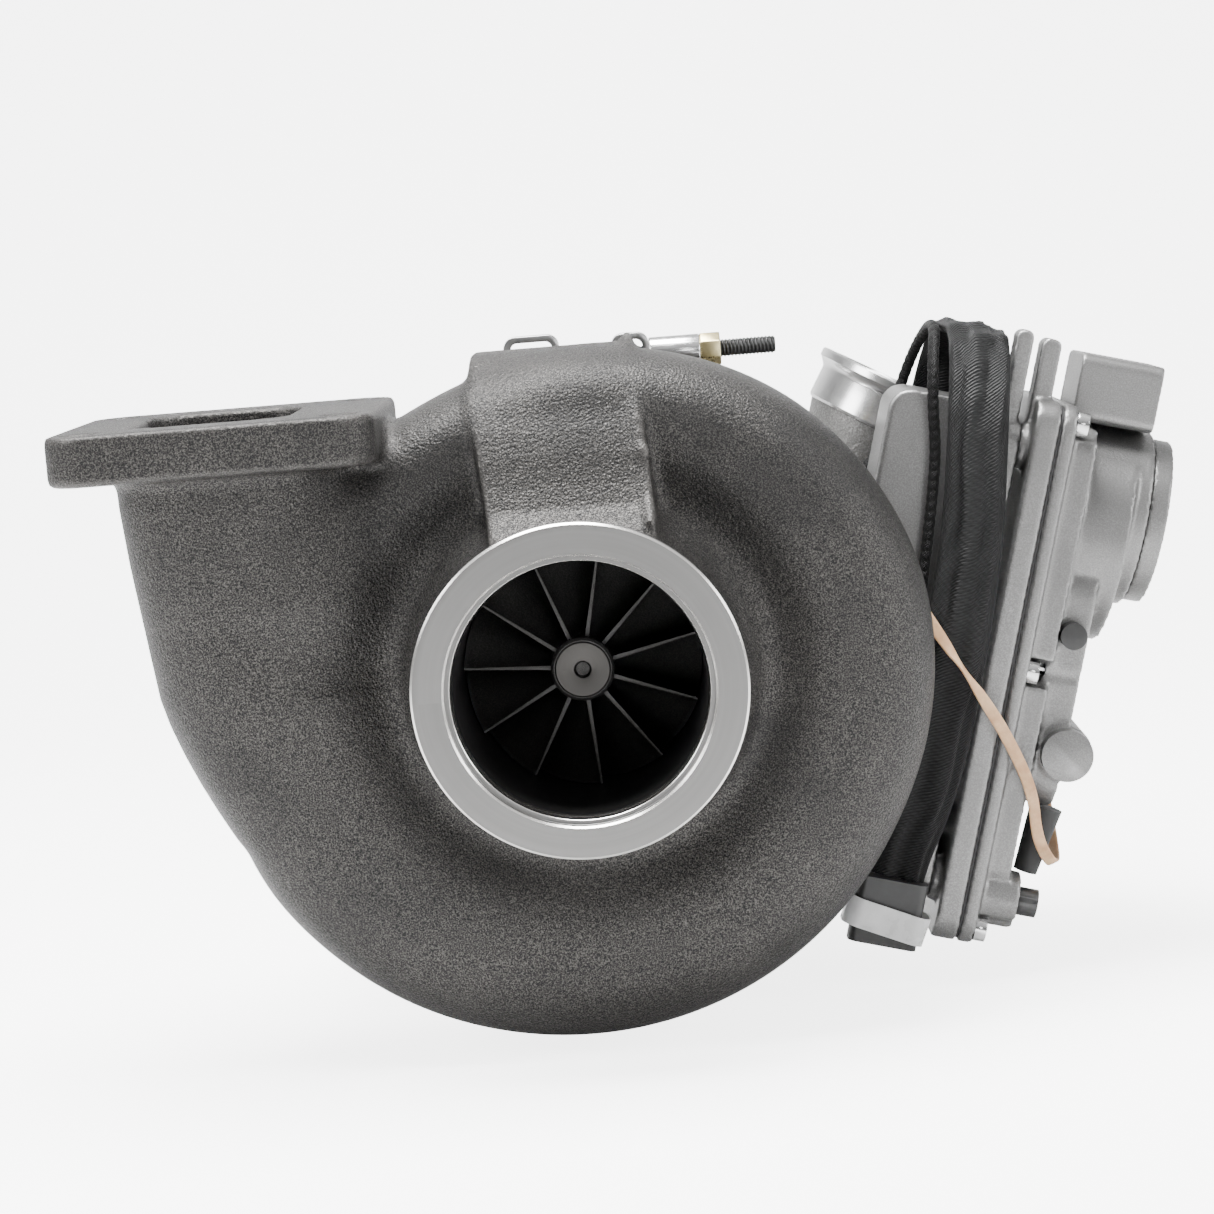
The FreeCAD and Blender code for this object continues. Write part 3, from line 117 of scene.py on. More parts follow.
def joined(shapes):
    """Several (points, faces) as one."""
    points = []
    faces = []
    count = 0
    for some_points, some_faces in shapes:
        points.append(some_points)
        faces += [[i + count for i in face] for face in (some_faces if isinstance(some_faces, list) else some_faces.tolist())]
        count += len(some_points)
    return np.concatenate(points), faces


def copy_of(node):
    """The merged mesh of a CAD node, as a new mesh."""
    mesh = NODES[node].data.copy()
    work = bmesh.new()
    work.from_mesh(mesh)
    bmesh.ops.remove_doubles(work, verts=work.verts, dist=1e-6)
    work.to_mesh(mesh)
    work.free()
    mesh.materials.clear()
    for layer in list(mesh.uv_layers):
        mesh.uv_layers.remove(layer)
    return mesh


def baked(thing):
    """The object's mesh with its modifiers carried out."""
    bpy.context.view_layer.update()
    graph = bpy.context.evaluated_depsgraph_get()
    mesh = bpy.data.meshes.new_from_object(thing.evaluated_get(graph))
    thing.modifiers.clear()
    old = thing.data
    thing.data = mesh
    bpy.data.meshes.remove(old)
    return mesh


def relaxed(points, faces, passes, amount=0.5, hold=None):
    """Each point moves part of the way to the mean of its neighbours, and a little back, so that nothing shrinks."""
    edges = np.concatenate([faces[:, [0, 1]], faces[:, [1, 2]], faces[:, [2, 3]], faces[:, [3, 0]]])
    a = np.concatenate([edges[:, 0], edges[:, 1]])
    b = np.concatenate([edges[:, 1], edges[:, 0]])
    count = np.bincount(a, minlength=len(points))[:, None]
    for k in range(2 * passes):
        mean = np.stack([np.bincount(a, points[b, i], minlength=len(points)) for i in range(3)], 1) / count
        step = (amount if k % 2 == 0 else -amount * 0.9) * (mean - points)
        points = points + (step if hold is None else step * hold[:, None])
    return points


def softened(node, voxel, passes, finish, name=None):
    """A cast part: its merged copy with every edge rounded by an even remesh and a light relaxing."""
    thing = bpy.data.objects.new(name or node + "_cast", copy_of(node))
    bpy.context.scene.collection.objects.link(thing)
    remesh = thing.modifiers.new("even", "REMESH")
    remesh.mode = "VOXEL"
    remesh.voxel_size = voxel * MM
    mesh = baked(thing)
    points = np.empty(len(mesh.vertices) * 3)
    mesh.vertices.foreach_get("co", points)
    faces = np.empty(len(mesh.loops), int)
    mesh.loops.foreach_get("vertex_index", faces)
    points = relaxed(points.reshape(-1, 3), faces.reshape(-1, 4), passes)
    mesh.vertices.foreach_set("co", points.ravel())
    mesh.shade_smooth()
    mesh.materials.append(finish)
    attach(thing, BODY_OF[node])
    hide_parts(node)
    return thing


def edged(node, width, finish, angle=28.0, segments=2):
    """A machined part: its merged copy with fine bevelled edges."""
    thing = bpy.data.objects.new(node + "_edged", copy_of(node))
    bpy.context.scene.collection.objects.link(thing)
    thing.data.shade_smooth()
    bevel = thing.modifiers.new("edges", "BEVEL")
    bevel.width = width * MM
    bevel.segments = segments
    bevel.limit_method = "ANGLE"
    bevel.angle_limit = math.radians(angle)
    bevel.use_clamp_overlap = True
    bevel.harden_normals = True
    mesh = baked(thing)
    mesh.shade_smooth()
    mesh.set_sharp_from_angle(angle=math.radians(40))
    mesh.materials.append(finish)
    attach(thing, BODY_OF[node])
    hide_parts(node)
    return thing


# ---- cast shapes as fields ---------------------------------------------------
def blend_min(a, b, soft):
    """Union of two fields with a fillet of about that size."""
    h = np.clip(0.5 + 0.5 * (b - a) / soft, 0, 1)
    return b * (1 - h) + a * h - soft * h * (1 - h)


def blend_max(a, b, soft):
    return -blend_min(-a, -b, soft)


def space(lo, hi, step):
    """Coordinates of a grid of places, in mm."""
    axes = [np.arange(lo[i], hi[i] + step, step, dtype=np.float32) for i in range(3)]
    return np.meshgrid(*axes, indexing="ij")


def plate_box(x, y, z, lo, hi, corner, edge, up=2):
    """Distance to a plate: large corners seen along one axis, small radius at its faces."""
    flat = [i for i in range(3) if i != up]
    c = (x, y, z)
    out = [np.abs(c[i] - (lo[i] + hi[i]) / 2) - (hi[i] - lo[i]) / 2 + corner for i in flat]
    side = np.sqrt(sum(np.maximum(o, 0) ** 2 for o in out)) + np.minimum(np.maximum(*out), 0) - corner + edge
    face = np.abs(c[up] - (lo[up] + hi[up]) / 2) - (hi[up] - lo[up]) / 2 + edge
    return np.sqrt(np.maximum(side, 0) ** 2 + np.maximum(face, 0) ** 2) + np.minimum(np.maximum(side, face), 0) - edge


def skin(field, lo, step):
    """Closed surface where a field is zero: a point in each cell that it crosses, at the mean of the
    crossings on the cell's edges, and a face across each grid edge whose two ends differ in sign."""
    size = np.array(field.shape) - 1
    cells = int(size.prod())
    total = np.zeros((cells, 3))
    count = np.zeros(cells)
    quads = []
    for axis in range(3):
        low = np.take(field, np.arange(field.shape[axis] - 1), axis)
        high = np.take(field, np.arange(1, field.shape[axis]), axis)
        base = np.argwhere((low < 0) != (high < 0))
        start = low[tuple(base.T)]
        end = high[tuple(base.T)]
        spot = base.astype(float)
        spot[:, axis] += start / (start - end)
        u, v = ((1, 2), (2, 0), (0, 1))[axis]
        four = []
        for du, dv in ((0, 0), (-1, 0), (-1, -1), (0, -1)):
            cell = base.copy()
            cell[:, u] += du
            cell[:, v] += dv
            number = np.ravel_multi_index(cell.T, size)
            four.append(number)
            count += np.bincount(number, minlength=cells)
            for i in range(3):
                total[:, i] += np.bincount(number, spot[:, i], minlength=cells)
        four = np.stack(four, 1)
        four[start >= 0] = four[start >= 0][:, ::-1]
        quads.append(four)
    used = np.flatnonzero(count)
    new = np.zeros(cells, int)
    new[used] = np.arange(len(used))
    points = total[used] / count[used, None] * step + np.asarray(lo, float)
    return points, new[np.concatenate(quads)]


# ---- shader groups -----------------------------------------------------------
def new_group(name, inputs, outputs):
    tree = bpy.data.node_groups.new(name, "ShaderNodeTree")
    for label, kind, value in inputs:
        socket = tree.interface.new_socket(label, in_out="INPUT", socket_type=kind)
        if value is not None:
            socket.default_value = value
    for label, kind in outputs:
        tree.interface.new_socket(label, in_out="OUTPUT", socket_type=kind)
    return tree, tree.nodes.new("NodeGroupInput"), tree.nodes.new("NodeGroupOutput")


def node(tree, kind, values=(), **settings):
    made = tree.nodes.new("ShaderNode" + kind)
    for key, value in settings.items():
        setattr(made, key, value)
    for key, value in values:
        made.inputs[key].default_value = value
    return made


def math_node(tree, operation, a, b=None, clamp=False):
    made = node(tree, "Math", operation=operation, use_clamp=clamp)
    for k, value in enumerate((a, b)):
        if isinstance(value, (int, float)):
            made.inputs[k].default_value = value
        elif value is not None:
            tree.links.new(value, made.inputs[k])
    return made.outputs[0]


FLOAT = "NodeSocketFloat"
VECTOR = "NodeSocketVector"


def build_cast_grain():
    """Sand-cast skin: small rounded lumps with pits between them, and a slow change of tone."""
    tree, start, end = new_group("cast grain", [("Place", VECTOR, None), ("Grains per metre", FLOAT, 900.0)],
                                 [("Height", FLOAT), ("Speckle", FLOAT), ("Patches", FLOAT)])
    link = tree.links.new
    lumps = node(tree, "TexVoronoi", [("Randomness", 1.0), ("Smoothness", 0.9)], feature="SMOOTH_F1")
    fine = node(tree, "TexNoise", [("Detail", 4.0), ("Roughness", 0.65)])
    spots = node(tree, "TexNoise", [("Detail", 2.0), ("Roughness", 0.7)])
    slow = node(tree, "TexNoise", [("Scale", 16.0), ("Detail", 3.0), ("Roughness", 0.6)])
    for texture in (lumps, fine, spots, slow):
        link(start.outputs["Place"], texture.inputs["Vector"])
    grains = start.outputs["Grains per metre"]
    link(grains, lumps.inputs["Scale"])
    link(math_node(tree, "MULTIPLY", grains, 0.8), fine.inputs["Scale"])
    link(math_node(tree, "MULTIPLY", grains, 1.7), spots.inputs["Scale"])
    height = math_node(tree, "ADD", math_node(tree, "MULTIPLY", math_node(tree, "SUBTRACT", 1.0, lumps.outputs["Distance"]), 0.55),
                       math_node(tree, "MULTIPLY", fine.outputs["Fac"], 0.6))
    link(height, end.inputs["Height"])
    range_node = node(tree, "MapRange", [("From Min", 0.42), ("From Max", 0.68)])
    link(spots.outputs["Fac"], range_node.inputs["Value"])
    link(range_node.outputs["Result"], end.inputs["Speckle"])
    slow_range = node(tree, "MapRange", [("From Min", 0.35), ("From Max", 0.65)])
    link(slow.outputs["Fac"], slow_range.inputs["Value"])
    link(slow_range.outputs["Result"], end.inputs["Patches"])
    return tree


def build_turning():
    """Tool marks: fine rings about local Y, streaked a little round the ring."""
    tree, start, end = new_group("tool rings", [("Place", VECTOR, None), ("Rings per metre", FLOAT, 2600.0)],
                                 [("Height", FLOAT), ("Tone", FLOAT)])
    link = tree.links.new
    split = node(tree, "SeparateXYZ")
    link(start.outputs["Place"], split.inputs[0])
    x, y, z = split.outputs
    radius = math_node(tree, "SQRT", math_node(tree, "ADD", math_node(tree, "MULTIPLY", x, x), math_node(tree, "MULTIPLY", z, z)))
    turn = math_node(tree, "ARCTAN2", z, x)
    rings = start.outputs["Rings per metre"]
    pack = node(tree, "CombineXYZ")
    link(math_node(tree, "MULTIPLY", radius, rings), pack.inputs[0])
    link(math_node(tree, "MULTIPLY", y, rings), pack.inputs[1])
    link(math_node(tree, "MULTIPLY", turn, 1.2), pack.inputs[2])
    streak = node(tree, "TexNoise", [("Scale", 1.0), ("Detail", 2.0), ("Roughness", 0.55)])
    link(pack.outputs[0], streak.inputs["Vector"])
    link(streak.outputs["Fac"], end.inputs["Height"])
    broad = node(tree, "TexNoise", [("Scale", 0.12), ("Detail", 3.0), ("Roughness", 0.6)])
    link(pack.outputs[0], broad.inputs["Vector"])
    link(broad.outputs["Fac"], end.inputs["Tone"])
    return tree


def build_twill():
    """Diagonal twill of flat threads on a strip's own UV: U across, V along, both counted in threads."""
    tree, start, end = new_group("twill cloth", [("Strip", VECTOR, None)], [("Height", FLOAT), ("Tone", FLOAT)])
    link = tree.links.new
    split = node(tree, "SeparateXYZ")
    link(start.outputs["Strip"], split.inputs[0])
    u, v = split.outputs[0], split.outputs[1]
    slant = math_node(tree, "ADD", u, v)
    across = math_node(tree, "SUBTRACT", u, v)
    rib = math_node(tree, "ABSOLUTE", math_node(tree, "SINE", math_node(tree, "MULTIPLY", slant, math.pi)))
    cell = math_node(tree, "ABSOLUTE", math_node(tree, "SINE", math_node(tree, "MULTIPLY", across, math.pi / 2)))
    height = math_node(tree, "MULTIPLY", rib, math_node(tree, "ADD", math_node(tree, "MULTIPLY", cell, 0.5), 0.5))
    link(height, end.inputs["Height"])
    worn = node(tree, "TexNoise", [("Scale", 0.35), ("Detail", 3.0)])
    link(start.outputs["Strip"], worn.inputs["Vector"])
    link(math_node(tree, "MULTIPLY", height, worn.outputs["Fac"]), end.inputs["Tone"])
    return tree


def build_edge_wear_and_highlight():
    """1 on ridges, 0 elsewhere, broken up by grain: where edges are painted lighter, partly as edge wear and partly as
    painted highlight.
    """
    tree, start, end = new_group("edge wear and highlight", [("Place", VECTOR, None), ("Low", FLOAT, 0.52), ("High", FLOAT, 0.6)],
                                 [("Mask", FLOAT)])
    link = tree.links.new
    shape = node(tree, "NewGeometry")
    ridge = node(tree, "MapRange")
    link(shape.outputs["Pointiness"], ridge.inputs["Value"])
    link(start.outputs["Low"], ridge.inputs["From Min"])
    link(start.outputs["High"], ridge.inputs["From Max"])
    break_up = node(tree, "TexNoise", [("Scale", 240.0), ("Detail", 3.0)])
    link(start.outputs["Place"], break_up.inputs["Vector"])
    link(math_node(tree, "MULTIPLY", ridge.outputs["Result"], math_node(tree, "MULTIPLY", break_up.outputs["Fac"], 1.5), clamp=True),
         end.inputs["Mask"])
    return tree


CAST_GRAIN = build_cast_grain()
TOOL_RINGS = build_turning()
TWILL = build_twill()
EDGE_WEAR_AND_HIGHLIGHT = build_edge_wear_and_highlight()


# ---- finishes ----------------------------------------------------------------
def shade(grey, tint=(1, 1, 1)):
    return (grey * tint[0], grey * tint[1], grey * tint[2], 1)


def base_material(name, values):
    material = bpy.data.materials.new(name)
    material.use_nodes = True
    tree = material.node_tree
    shader = tree.nodes["Principled BSDF"]
    for key, value in values:
        shader.inputs[key].default_value = value
    return material, tree, shader


def placed(tree, centre=None, rotation=None):
    """Object coordinates, moved and turned so that a part's own axis is local Y."""
    source = node(tree, "TexCoord").outputs["Object"]
    if centre is None:
        return source
    turn = node(tree, "Mapping", vector_type="TEXTURE")
    turn.inputs["Location"].default_value = centre
    turn.inputs["Rotation"].default_value = rotation or (0, 0, 0)
    tree.links.new(source, turn.inputs["Vector"])
    return turn.outputs[0]


def use(tree, group, place=None, **values):
    made = tree.nodes.new("ShaderNodeGroup")
    made.node_tree = group
    if place is not None:
        tree.links.new(place, made.inputs[0])
    for key, value in values.items():
        made.inputs[key.replace("_", " ")].default_value = value
    return made


def mixed(tree, factor, first, second):
    """Colour between two colours or colour outputs."""
    made = node(tree, "Mix", data_type="RGBA")
    tree.links.new(factor, made.inputs[0])
    for socket, value in ((made.inputs[6], first), (made.inputs[7], second)):
        if isinstance(value, tuple):
            socket.default_value = value
        else:
            tree.links.new(value, socket)
    return made.outputs[2]


def bumped(tree, shader, height, distance, strength=1.0):
    made = node(tree, "Bump", [("Strength", strength), ("Distance", distance)])
    tree.links.new(height, made.inputs["Height"])
    tree.links.new(made.outputs[0], shader.inputs["Normal"])


def ranged(tree, value, low, high):
    made = node(tree, "MapRange", [("To Min", low), ("To Max", high)])
    tree.links.new(value, made.inputs["Value"])
    return made.outputs["Result"]


def cast_metal(name, dark, light, ridge, grains, depth, metallic, rough, wear=(0.52, 0.62), extra=()):
    """Cast skin: grain in colour, roughness and height, with ridges painted brighter, partly as rubbed wear and partly
    as painted highlight.
    """
    material, tree, shader = base_material(name, [("Metallic", metallic)] + list(extra))
    place = placed(tree)
    grain = use(tree, CAST_GRAIN, place, Grains_per_metre=grains)
    wear_and_highlight_mask = use(tree, EDGE_WEAR_AND_HIGHLIGHT, place, Low=wear[0], High=wear[1])
    body = mixed(tree, grain.outputs["Speckle"], dark, light)
    deeper = mixed(tree, grain.outputs["Patches"], tuple(0.78 * c for c in dark[:3]) + (1,), body)
    half = mixed(tree, ranged(tree, grain.outputs["Patches"], 0.55, 1.0), deeper, body)
    # Raised edges take the ridge colour: rubbed wear and painted highlight.
    tree.links.new(mixed(tree, wear_and_highlight_mask.outputs["Mask"], half, ridge), shader.inputs["Base Color"])
    tree.links.new(ranged(tree, grain.outputs["Speckle"], rough[1], rough[0]), shader.inputs["Roughness"])
    bumped(tree, shader, grain.outputs["Height"], depth)
    return material


def turned_metal(name, dark, light, rings, rough, depth=0.00002, centre=(0, 0, 0), rotation=(0, 0, 0), metallic=1.0, extra=()):
    """Machined metal: fine tool rings round its own axis."""
    material, tree, shader = base_material(name, [("Metallic", metallic)] + list(extra))
    rings_node = use(tree, TOOL_RINGS, placed(tree, centre, rotation), Rings_per_metre=rings)
    tree.links.new(mixed(tree, rings_node.outputs["Tone"], dark, light), shader.inputs["Base Color"])
    tree.links.new(ranged(tree, rings_node.outputs["Tone"], rough[0], rough[1]), shader.inputs["Roughness"])
    bumped(tree, shader, rings_node.outputs["Height"], depth)
    return material


def smooth_metal(name, dark, light, rough, scale=120.0, depth=0.000012, metallic=1.0, wear=None, extra=()):
    """Plated, rolled or moulded surface: faint mottling in colour and gloss, and worn edges."""
    material, tree, shader = base_material(name, [("Metallic", metallic)] + list(extra))
    place = placed(tree)
    cloud = node(tree, "TexNoise", [("Scale", scale), ("Detail", 5.0), ("Roughness", 0.6)])
    fine = node(tree, "TexNoise", [("Scale", scale * 14), ("Detail", 2.0)])
    for texture in (cloud, fine):
        tree.links.new(place, texture.inputs["Vector"])
    mask = node(tree, "MapRange", [("From Min", 0.35), ("From Max", 0.65)])
    tree.links.new(cloud.outputs["Fac"], mask.inputs["Value"])
    colour = mixed(tree, mask.outputs["Result"], dark, light)
    if wear:
        worn = use(tree, EDGE_WEAR_AND_HIGHLIGHT, place)
        colour = mixed(tree, worn.outputs["Mask"], colour, wear)
    tree.links.new(colour, shader.inputs["Base Color"])
    tree.links.new(ranged(tree, mask.outputs["Result"], rough[0], rough[1]), shader.inputs["Roughness"])
    bumped(tree, shader, fine.outputs["Fac"], depth)
    return material


# Each cast finish has dark and light grain colours, then a ridge colour that is partly rubbed wear and partly painted
# highlight.
IRON = cast_metal("cast iron", shade(0.01, (1.0, 1, 1.05)), shade(0.105, (1.06, 1, 0.93)), shade(0.15, (1.05, 1, 0.95)),
                  1200.0, 0.0005, 0.62, (0.36, 0.56))
DRUM_IRON = cast_metal("bearing iron", shade(0.02, (1.04, 1, 0.96)), shade(0.08, (1.04, 1, 0.96)), shade(0.14), 1100.0, 0.0003,
                       0.75, (0.42, 0.62))
RING_IRON = turned_metal("turned iron", shade(0.15, (1.01, 1, 0.98)), shade(0.25, (1.01, 1, 0.98)), 2200.0, (0.36, 0.48))
# Chamfer rims of the outlet ring are painted near white: a painted highlight on their thin edges.
RIM_HIGHLIGHT_IRON = turned_metal("painted highlight rim", shade(0.6, (1.02, 1, 0.96)), shade(0.75, (1.02, 1, 0.97)), 2200.0, (0.2, 0.3))
BORE_IRON = turned_metal("bored iron", shade(0.05), shade(0.12), 1400.0, (0.35, 0.5), 0.00003)
ALLOY = cast_metal("cast alloy wheel", shade(0.035, (1.03, 1, 0.97)), shade(0.07, (1.03, 1, 0.97)), shade(0.085), 1500.0, 0.00005,
                   0.85, (0.4, 0.55), wear=(0.54, 0.64))
NOSE = turned_metal("wheel nose", shade(0.05, (1.05, 1, 0.95)), shade(0.09, (1.04, 1, 0.96)), 1800.0, (0.38, 0.5))
ALUMINIUM = cast_metal("cast aluminium", shade(0.19, (1, 0.995, 0.98)), shade(0.27, (1, 0.995, 0.985)), shade(0.45), 1300.0, 0.0001,
                       0.92, (0.34, 0.5), wear=(0.53, 0.62))
SCROLL_ALUMINIUM = cast_metal("sand cast aluminium", shade(0.17, (1.01, 1, 0.97)), shade(0.28, (1.01, 1, 0.98)), shade(0.4), 900.0,
                              0.00022, 0.9, (0.4, 0.58), wear=(0.53, 0.62))
STEEL = smooth_metal("ground steel", shade(0.42), shade(0.58), (0.22, 0.34))
STRIP = smooth_metal("rolled strip", shade(0.34), shade(0.5), (0.26, 0.4), 90.0, wear=shade(0.7))
BRIGHT = smooth_metal("bright plate", shade(0.6), shade(0.76), (0.14, 0.26), 160.0, wear=shade(0.85))
YELLOW = smooth_metal("yellow passivate", (0.5, 0.38, 0.13, 1), (0.72, 0.6, 0.3, 1), (0.24, 0.36), 210.0, wear=(0.8, 0.74, 0.5, 1))
BLACK_STEEL = smooth_metal("black oxide", shade(0.015), shade(0.045), (0.32, 0.5), 150.0, metallic=0.8, wear=shade(0.18))
MILLED = turned_metal("milled aluminium", shade(0.62), shade(0.8), 2000.0, (0.2, 0.32))
BRONZE = turned_metal("turned bronze", (0.45, 0.28, 0.1, 1), (0.66, 0.45, 0.2, 1), 2400.0, (0.26, 0.4))
WINDING = smooth_metal("varnished windings", (0.1, 0.07, 0.05, 1), (0.3, 0.2, 0.12, 1), (0.35, 0.55), 300.0, 0.0001, 0.4)
PLASTIC = smooth_metal("black plastic", shade(0.012), shade(0.028), (0.38, 0.52), 90.0, 0.00003, 0.0)
RUBBER = smooth_metal("black rubber", shade(0.012), shade(0.024), (0.55, 0.72), 130.0, 0.00005, 0.0)
TAN = smooth_metal("tan rubber", (0.42, 0.24, 0.12, 1), (0.62, 0.41, 0.24, 1), (0.5, 0.66), 120.0, 0.00008, 0.0,
                   extra=[("Subsurface Weight", 0.12), ("Subsurface Scale", 0.002)])
LABEL = smooth_metal("label film", shade(0.5), shade(0.68), (0.26, 0.4), 60.0, 0.00005, 0.0)
BOARD = smooth_metal("coated board", (0.01, 0.07, 0.03, 1), (0.02, 0.14, 0.06, 1), (0.3, 0.45), 200.0, 0.00002, 0.0)


def cloth(name, dark, light):
    """Woven cover: twill threads from the strip's own UV, with a soft sheen."""
    material, tree, shader = base_material(name, [("Roughness", 0.5), ("Specular IOR Level", 0.22), ("Sheen Weight", 0.02), ("Sheen Roughness", 0.35)])
    strip = node(tree, "UVMap", uv_map="strip").outputs[0]
    weave = use(tree, TWILL, strip)
    tree.links.new(mixed(tree, weave.outputs["Tone"], dark, light), shader.inputs["Base Color"])
    bumped(tree, shader, weave.outputs["Height"], 0.00028)
    return material


SLEEVE_CLOTH = cloth("woven sleeve", shade(0.0015), shade(0.01, (0.95, 1, 1.06)))
LEAD_CLOTH = cloth("wrapped lead", shade(0.0015), shade(0.009))

FINISH = {"cast_iron": IRON, "housing_iron": DRUM_IRON, "hot_alloy": ALLOY, "ground_steel": STEEL, "stamped_steel": STRIP,
          "bright_steel": BRIGHT, "yellow_zinc": YELLOW, "black_steel": BLACK_STEEL, "cast_aluminium": ALUMINIUM,
          "milled_aluminium": MILLED, "bronze": BRONZE, "copper_steel": WINDING, "black_rubber": RUBBER, "tan_rubber": TAN,
          "woven_sleeve": SLEEVE_CLOTH, "black_plastic": PLASTIC, "label_film": LABEL, "green_board": BOARD}
for part_name, part in NODES.items():
    for place in part.material_slots:
        place.material = FINISH[SLOT_OF[part_name]]


# ---- camera and cords --------------------------------------------------------
def add_camera():
    lens = bpy.data.cameras.new("camera")
    lens.sensor_width = 36
    lens.lens = 98.2
    lens.clip_start = 0.05
    camera = bpy.data.objects.new("camera", lens)
    bpy.context.scene.collection.objects.link(camera)
    right = Vector((0.99677, 0.01023, -0.0797)).normalized()
    ahead = Vector((-0.01939, 0.99317, -0.1150))
    ahead = (ahead - right * ahead.dot(right)).normalized()
    up = right.cross(ahead)
    camera.matrix_world = Matrix((
        (right.x, up.x, -ahead.x, 0.0307), (right.y, up.y, -ahead.y, -1.0283), (right.z, up.z, -ahead.z, 0.1452), (0, 0, 0, 1)))
    bpy.context.scene.camera = camera


def spline_points(route, count):
    """Evenly spaced points read from the NURBS spline of a route, in metres."""
    curve = bpy.data.curves.new("route", "CURVE")
    curve.dimensions = "3D"
    spline = curve.splines.new("NURBS")
    spline.points.add(len(route) - 1)
    for point, place in zip(spline.points, route):
        point.co = (*place, 1)
    spline.order_u = 3
    spline.use_endpoint_u = True
    spline.resolution_u = 24
    thing = bpy.data.objects.new("route", curve)
    mesh = bpy.data.meshes.new_from_object(thing)
    raw = np.array([v.co for v in mesh.vertices])
    bpy.data.objects.remove(thing)
    bpy.data.curves.remove(curve)
    bpy.data.meshes.remove(mesh)
    far = np.concatenate([[0], np.cumsum(np.linalg.norm(np.diff(raw, axis=0), axis=1))])
    even = np.linspace(0, far[-1], count)
    return np.stack([np.interp(even, far, raw[:, i]) for i in range(3)], 1), far[-1]


def frames_along(path, side):
    """Unit tangent, across and outward directions at each point; across stays close to a given side."""
    tangent = np.gradient(path, axis=0)
    tangent /= np.linalg.norm(tangent, axis=1)[:, None]
    across = side - np.sum(side * tangent, 1)[:, None] * tangent
    across /= np.linalg.norm(across, axis=1)[:, None]
    return tangent, across, np.cross(across, tangent)


def carried_tube(path, side, half_wide, half_thick, around, power=2.0, ripple=None):
    """Closed tube of superellipse sections carried along a path; ripple(s, turn) moves the wall outwards."""
    tangent, across, out = frames_along(path, side)
    turn = np.linspace(0, 2 * math.pi, around, endpoint=False)
    c = np.sign(np.cos(turn)) * np.abs(np.cos(turn)) ** (2 / power)
    s = np.sign(np.sin(turn)) * np.abs(np.sin(turn)) ** (2 / power)
    wide = np.broadcast_to(half_wide, (len(path),))[:, None]
    thick = np.broadcast_to(half_thick, (len(path),))[:, None]
    grow = 0 if ripple is None else ripple
    points = (path[:, None] + across[:, None] * (wide * c + grow * c)[..., None] + out[:, None] * (thick * s + grow * s)[..., None])
    faces = grid_faces(len(path), around).tolist()
    faces.append(list(range(around))[::-1])
    faces.append([(len(path) - 1) * around + k for k in range(around)])
    return points.reshape(-1, 3), faces


def strip_uv(thing, rows, around, threads_round, threads_along):
    """UV in threads: U round the section, V along the path."""
    layer = thing.data.uv_layers.new(name="strip")
    index = np.empty(len(thing.data.loops), int)
    thing.data.loops.foreach_get("vertex_index", index)
    u = (index % around) / around * threads_round
    v = np.minimum(index // around, rows - 1) / (rows - 1) * threads_along
    first = np.zeros(len(thing.data.loops), int)
    total = np.zeros(len(thing.data.polygons), int)
    start = np.zeros(len(thing.data.polygons), int)
    thing.data.polygons.foreach_get("loop_start", start)
    thing.data.polygons.foreach_get("loop_total", total)
    first = np.repeat(start, total)
    low = index[first] % around
    wrap = (index % around == 0) & (np.maximum.reduceat(index % around, start).repeat(total) == around - 1)
    u = np.where(wrap & (low >= 0), threads_round, u)
    layer.data.foreach_set("uv", np.stack([u, v], 1).ravel())


LEAD_ROUTE = leaned(((38.8, 139, 83.5), (43, 140, 93), (50, 144, 97), (60, 151, 91), (72, 158.5, 76), (86, 166.5, 70),
                     (92.5, 168, 86), (94.5, 167.5, 107), (96.3, 160, 121), (97.8, 146, 129), (98, 134, 131), (98.4, 121, 130.5),
                     (99.4, 112.5, 118), (102.2, 112, 104), (106.3, 113, 89), (108.2, 113.5, 73), (109.7, 113.5, 56),
                     (110.8, 114, 39), (111.5, 114.5, 22), (111.5, 115, 6)))
SLEEVE_ROUTE = leaned(((110.5, 168, 66), (110.5, 168, 92), (110.5, 167, 112), (111.5, 160, 131), (112.4, 138, 132),
                       (113.6, 116, 131), (115.5, 101, 114), (119, 98, 90), (122.5, 97.5, 65), (124, 97.5, 40),
                       (124.5, 98, 14), (124.5, 99, -12), (123, 100.4, -34), (120, 102.4, -49), (119.6, 102.6, -58)))
BAND_ROUTE = leaned(((83, 115.2, 64), (108, 92, 38), (137, 91.6, 9.5), (149, 99.4, -3.5), (161.5, 104.6, -20.5),
                     (167, 110, -38), (177.5, 124, -49), (179, 150, -44), (174, 198.5, -20), (136, 198.5, 12),
                     (81.5, 169, 66)))
LEAN_ACROSS = np.array([math.cos(LEAN), 0, -math.sin(LEAN)])


def sensor_lead():
    """Thin cable in a spiral wrap: a round tube whose wall rises and falls along a helix."""
    rows, around = 900, 20
    path, length = spline_points(LEAD_ROUTE, rows)
    turn = np.linspace(0, 2 * math.pi, around, endpoint=False)[None]
    s = np.linspace(0, length, rows)[:, None]
    wave = np.abs(np.sin(math.pi * s / 0.0035 + turn / 2))
    ripple = 0.00032 * wave ** 0.5 - 0.00032
    points, faces = carried_tube(path, LEAN_ACROSS, 0.002, 0.002, around, ripple=ripple)
    thing = piece("wrapped_sensor_lead", points, faces, "housing", LEAD_CLOTH, 60, weld=False,
                  stands_for=("sensor_lead",))
    strip_uv(thing, rows, around, 14, length / 0.0009)
    return thing, path, length


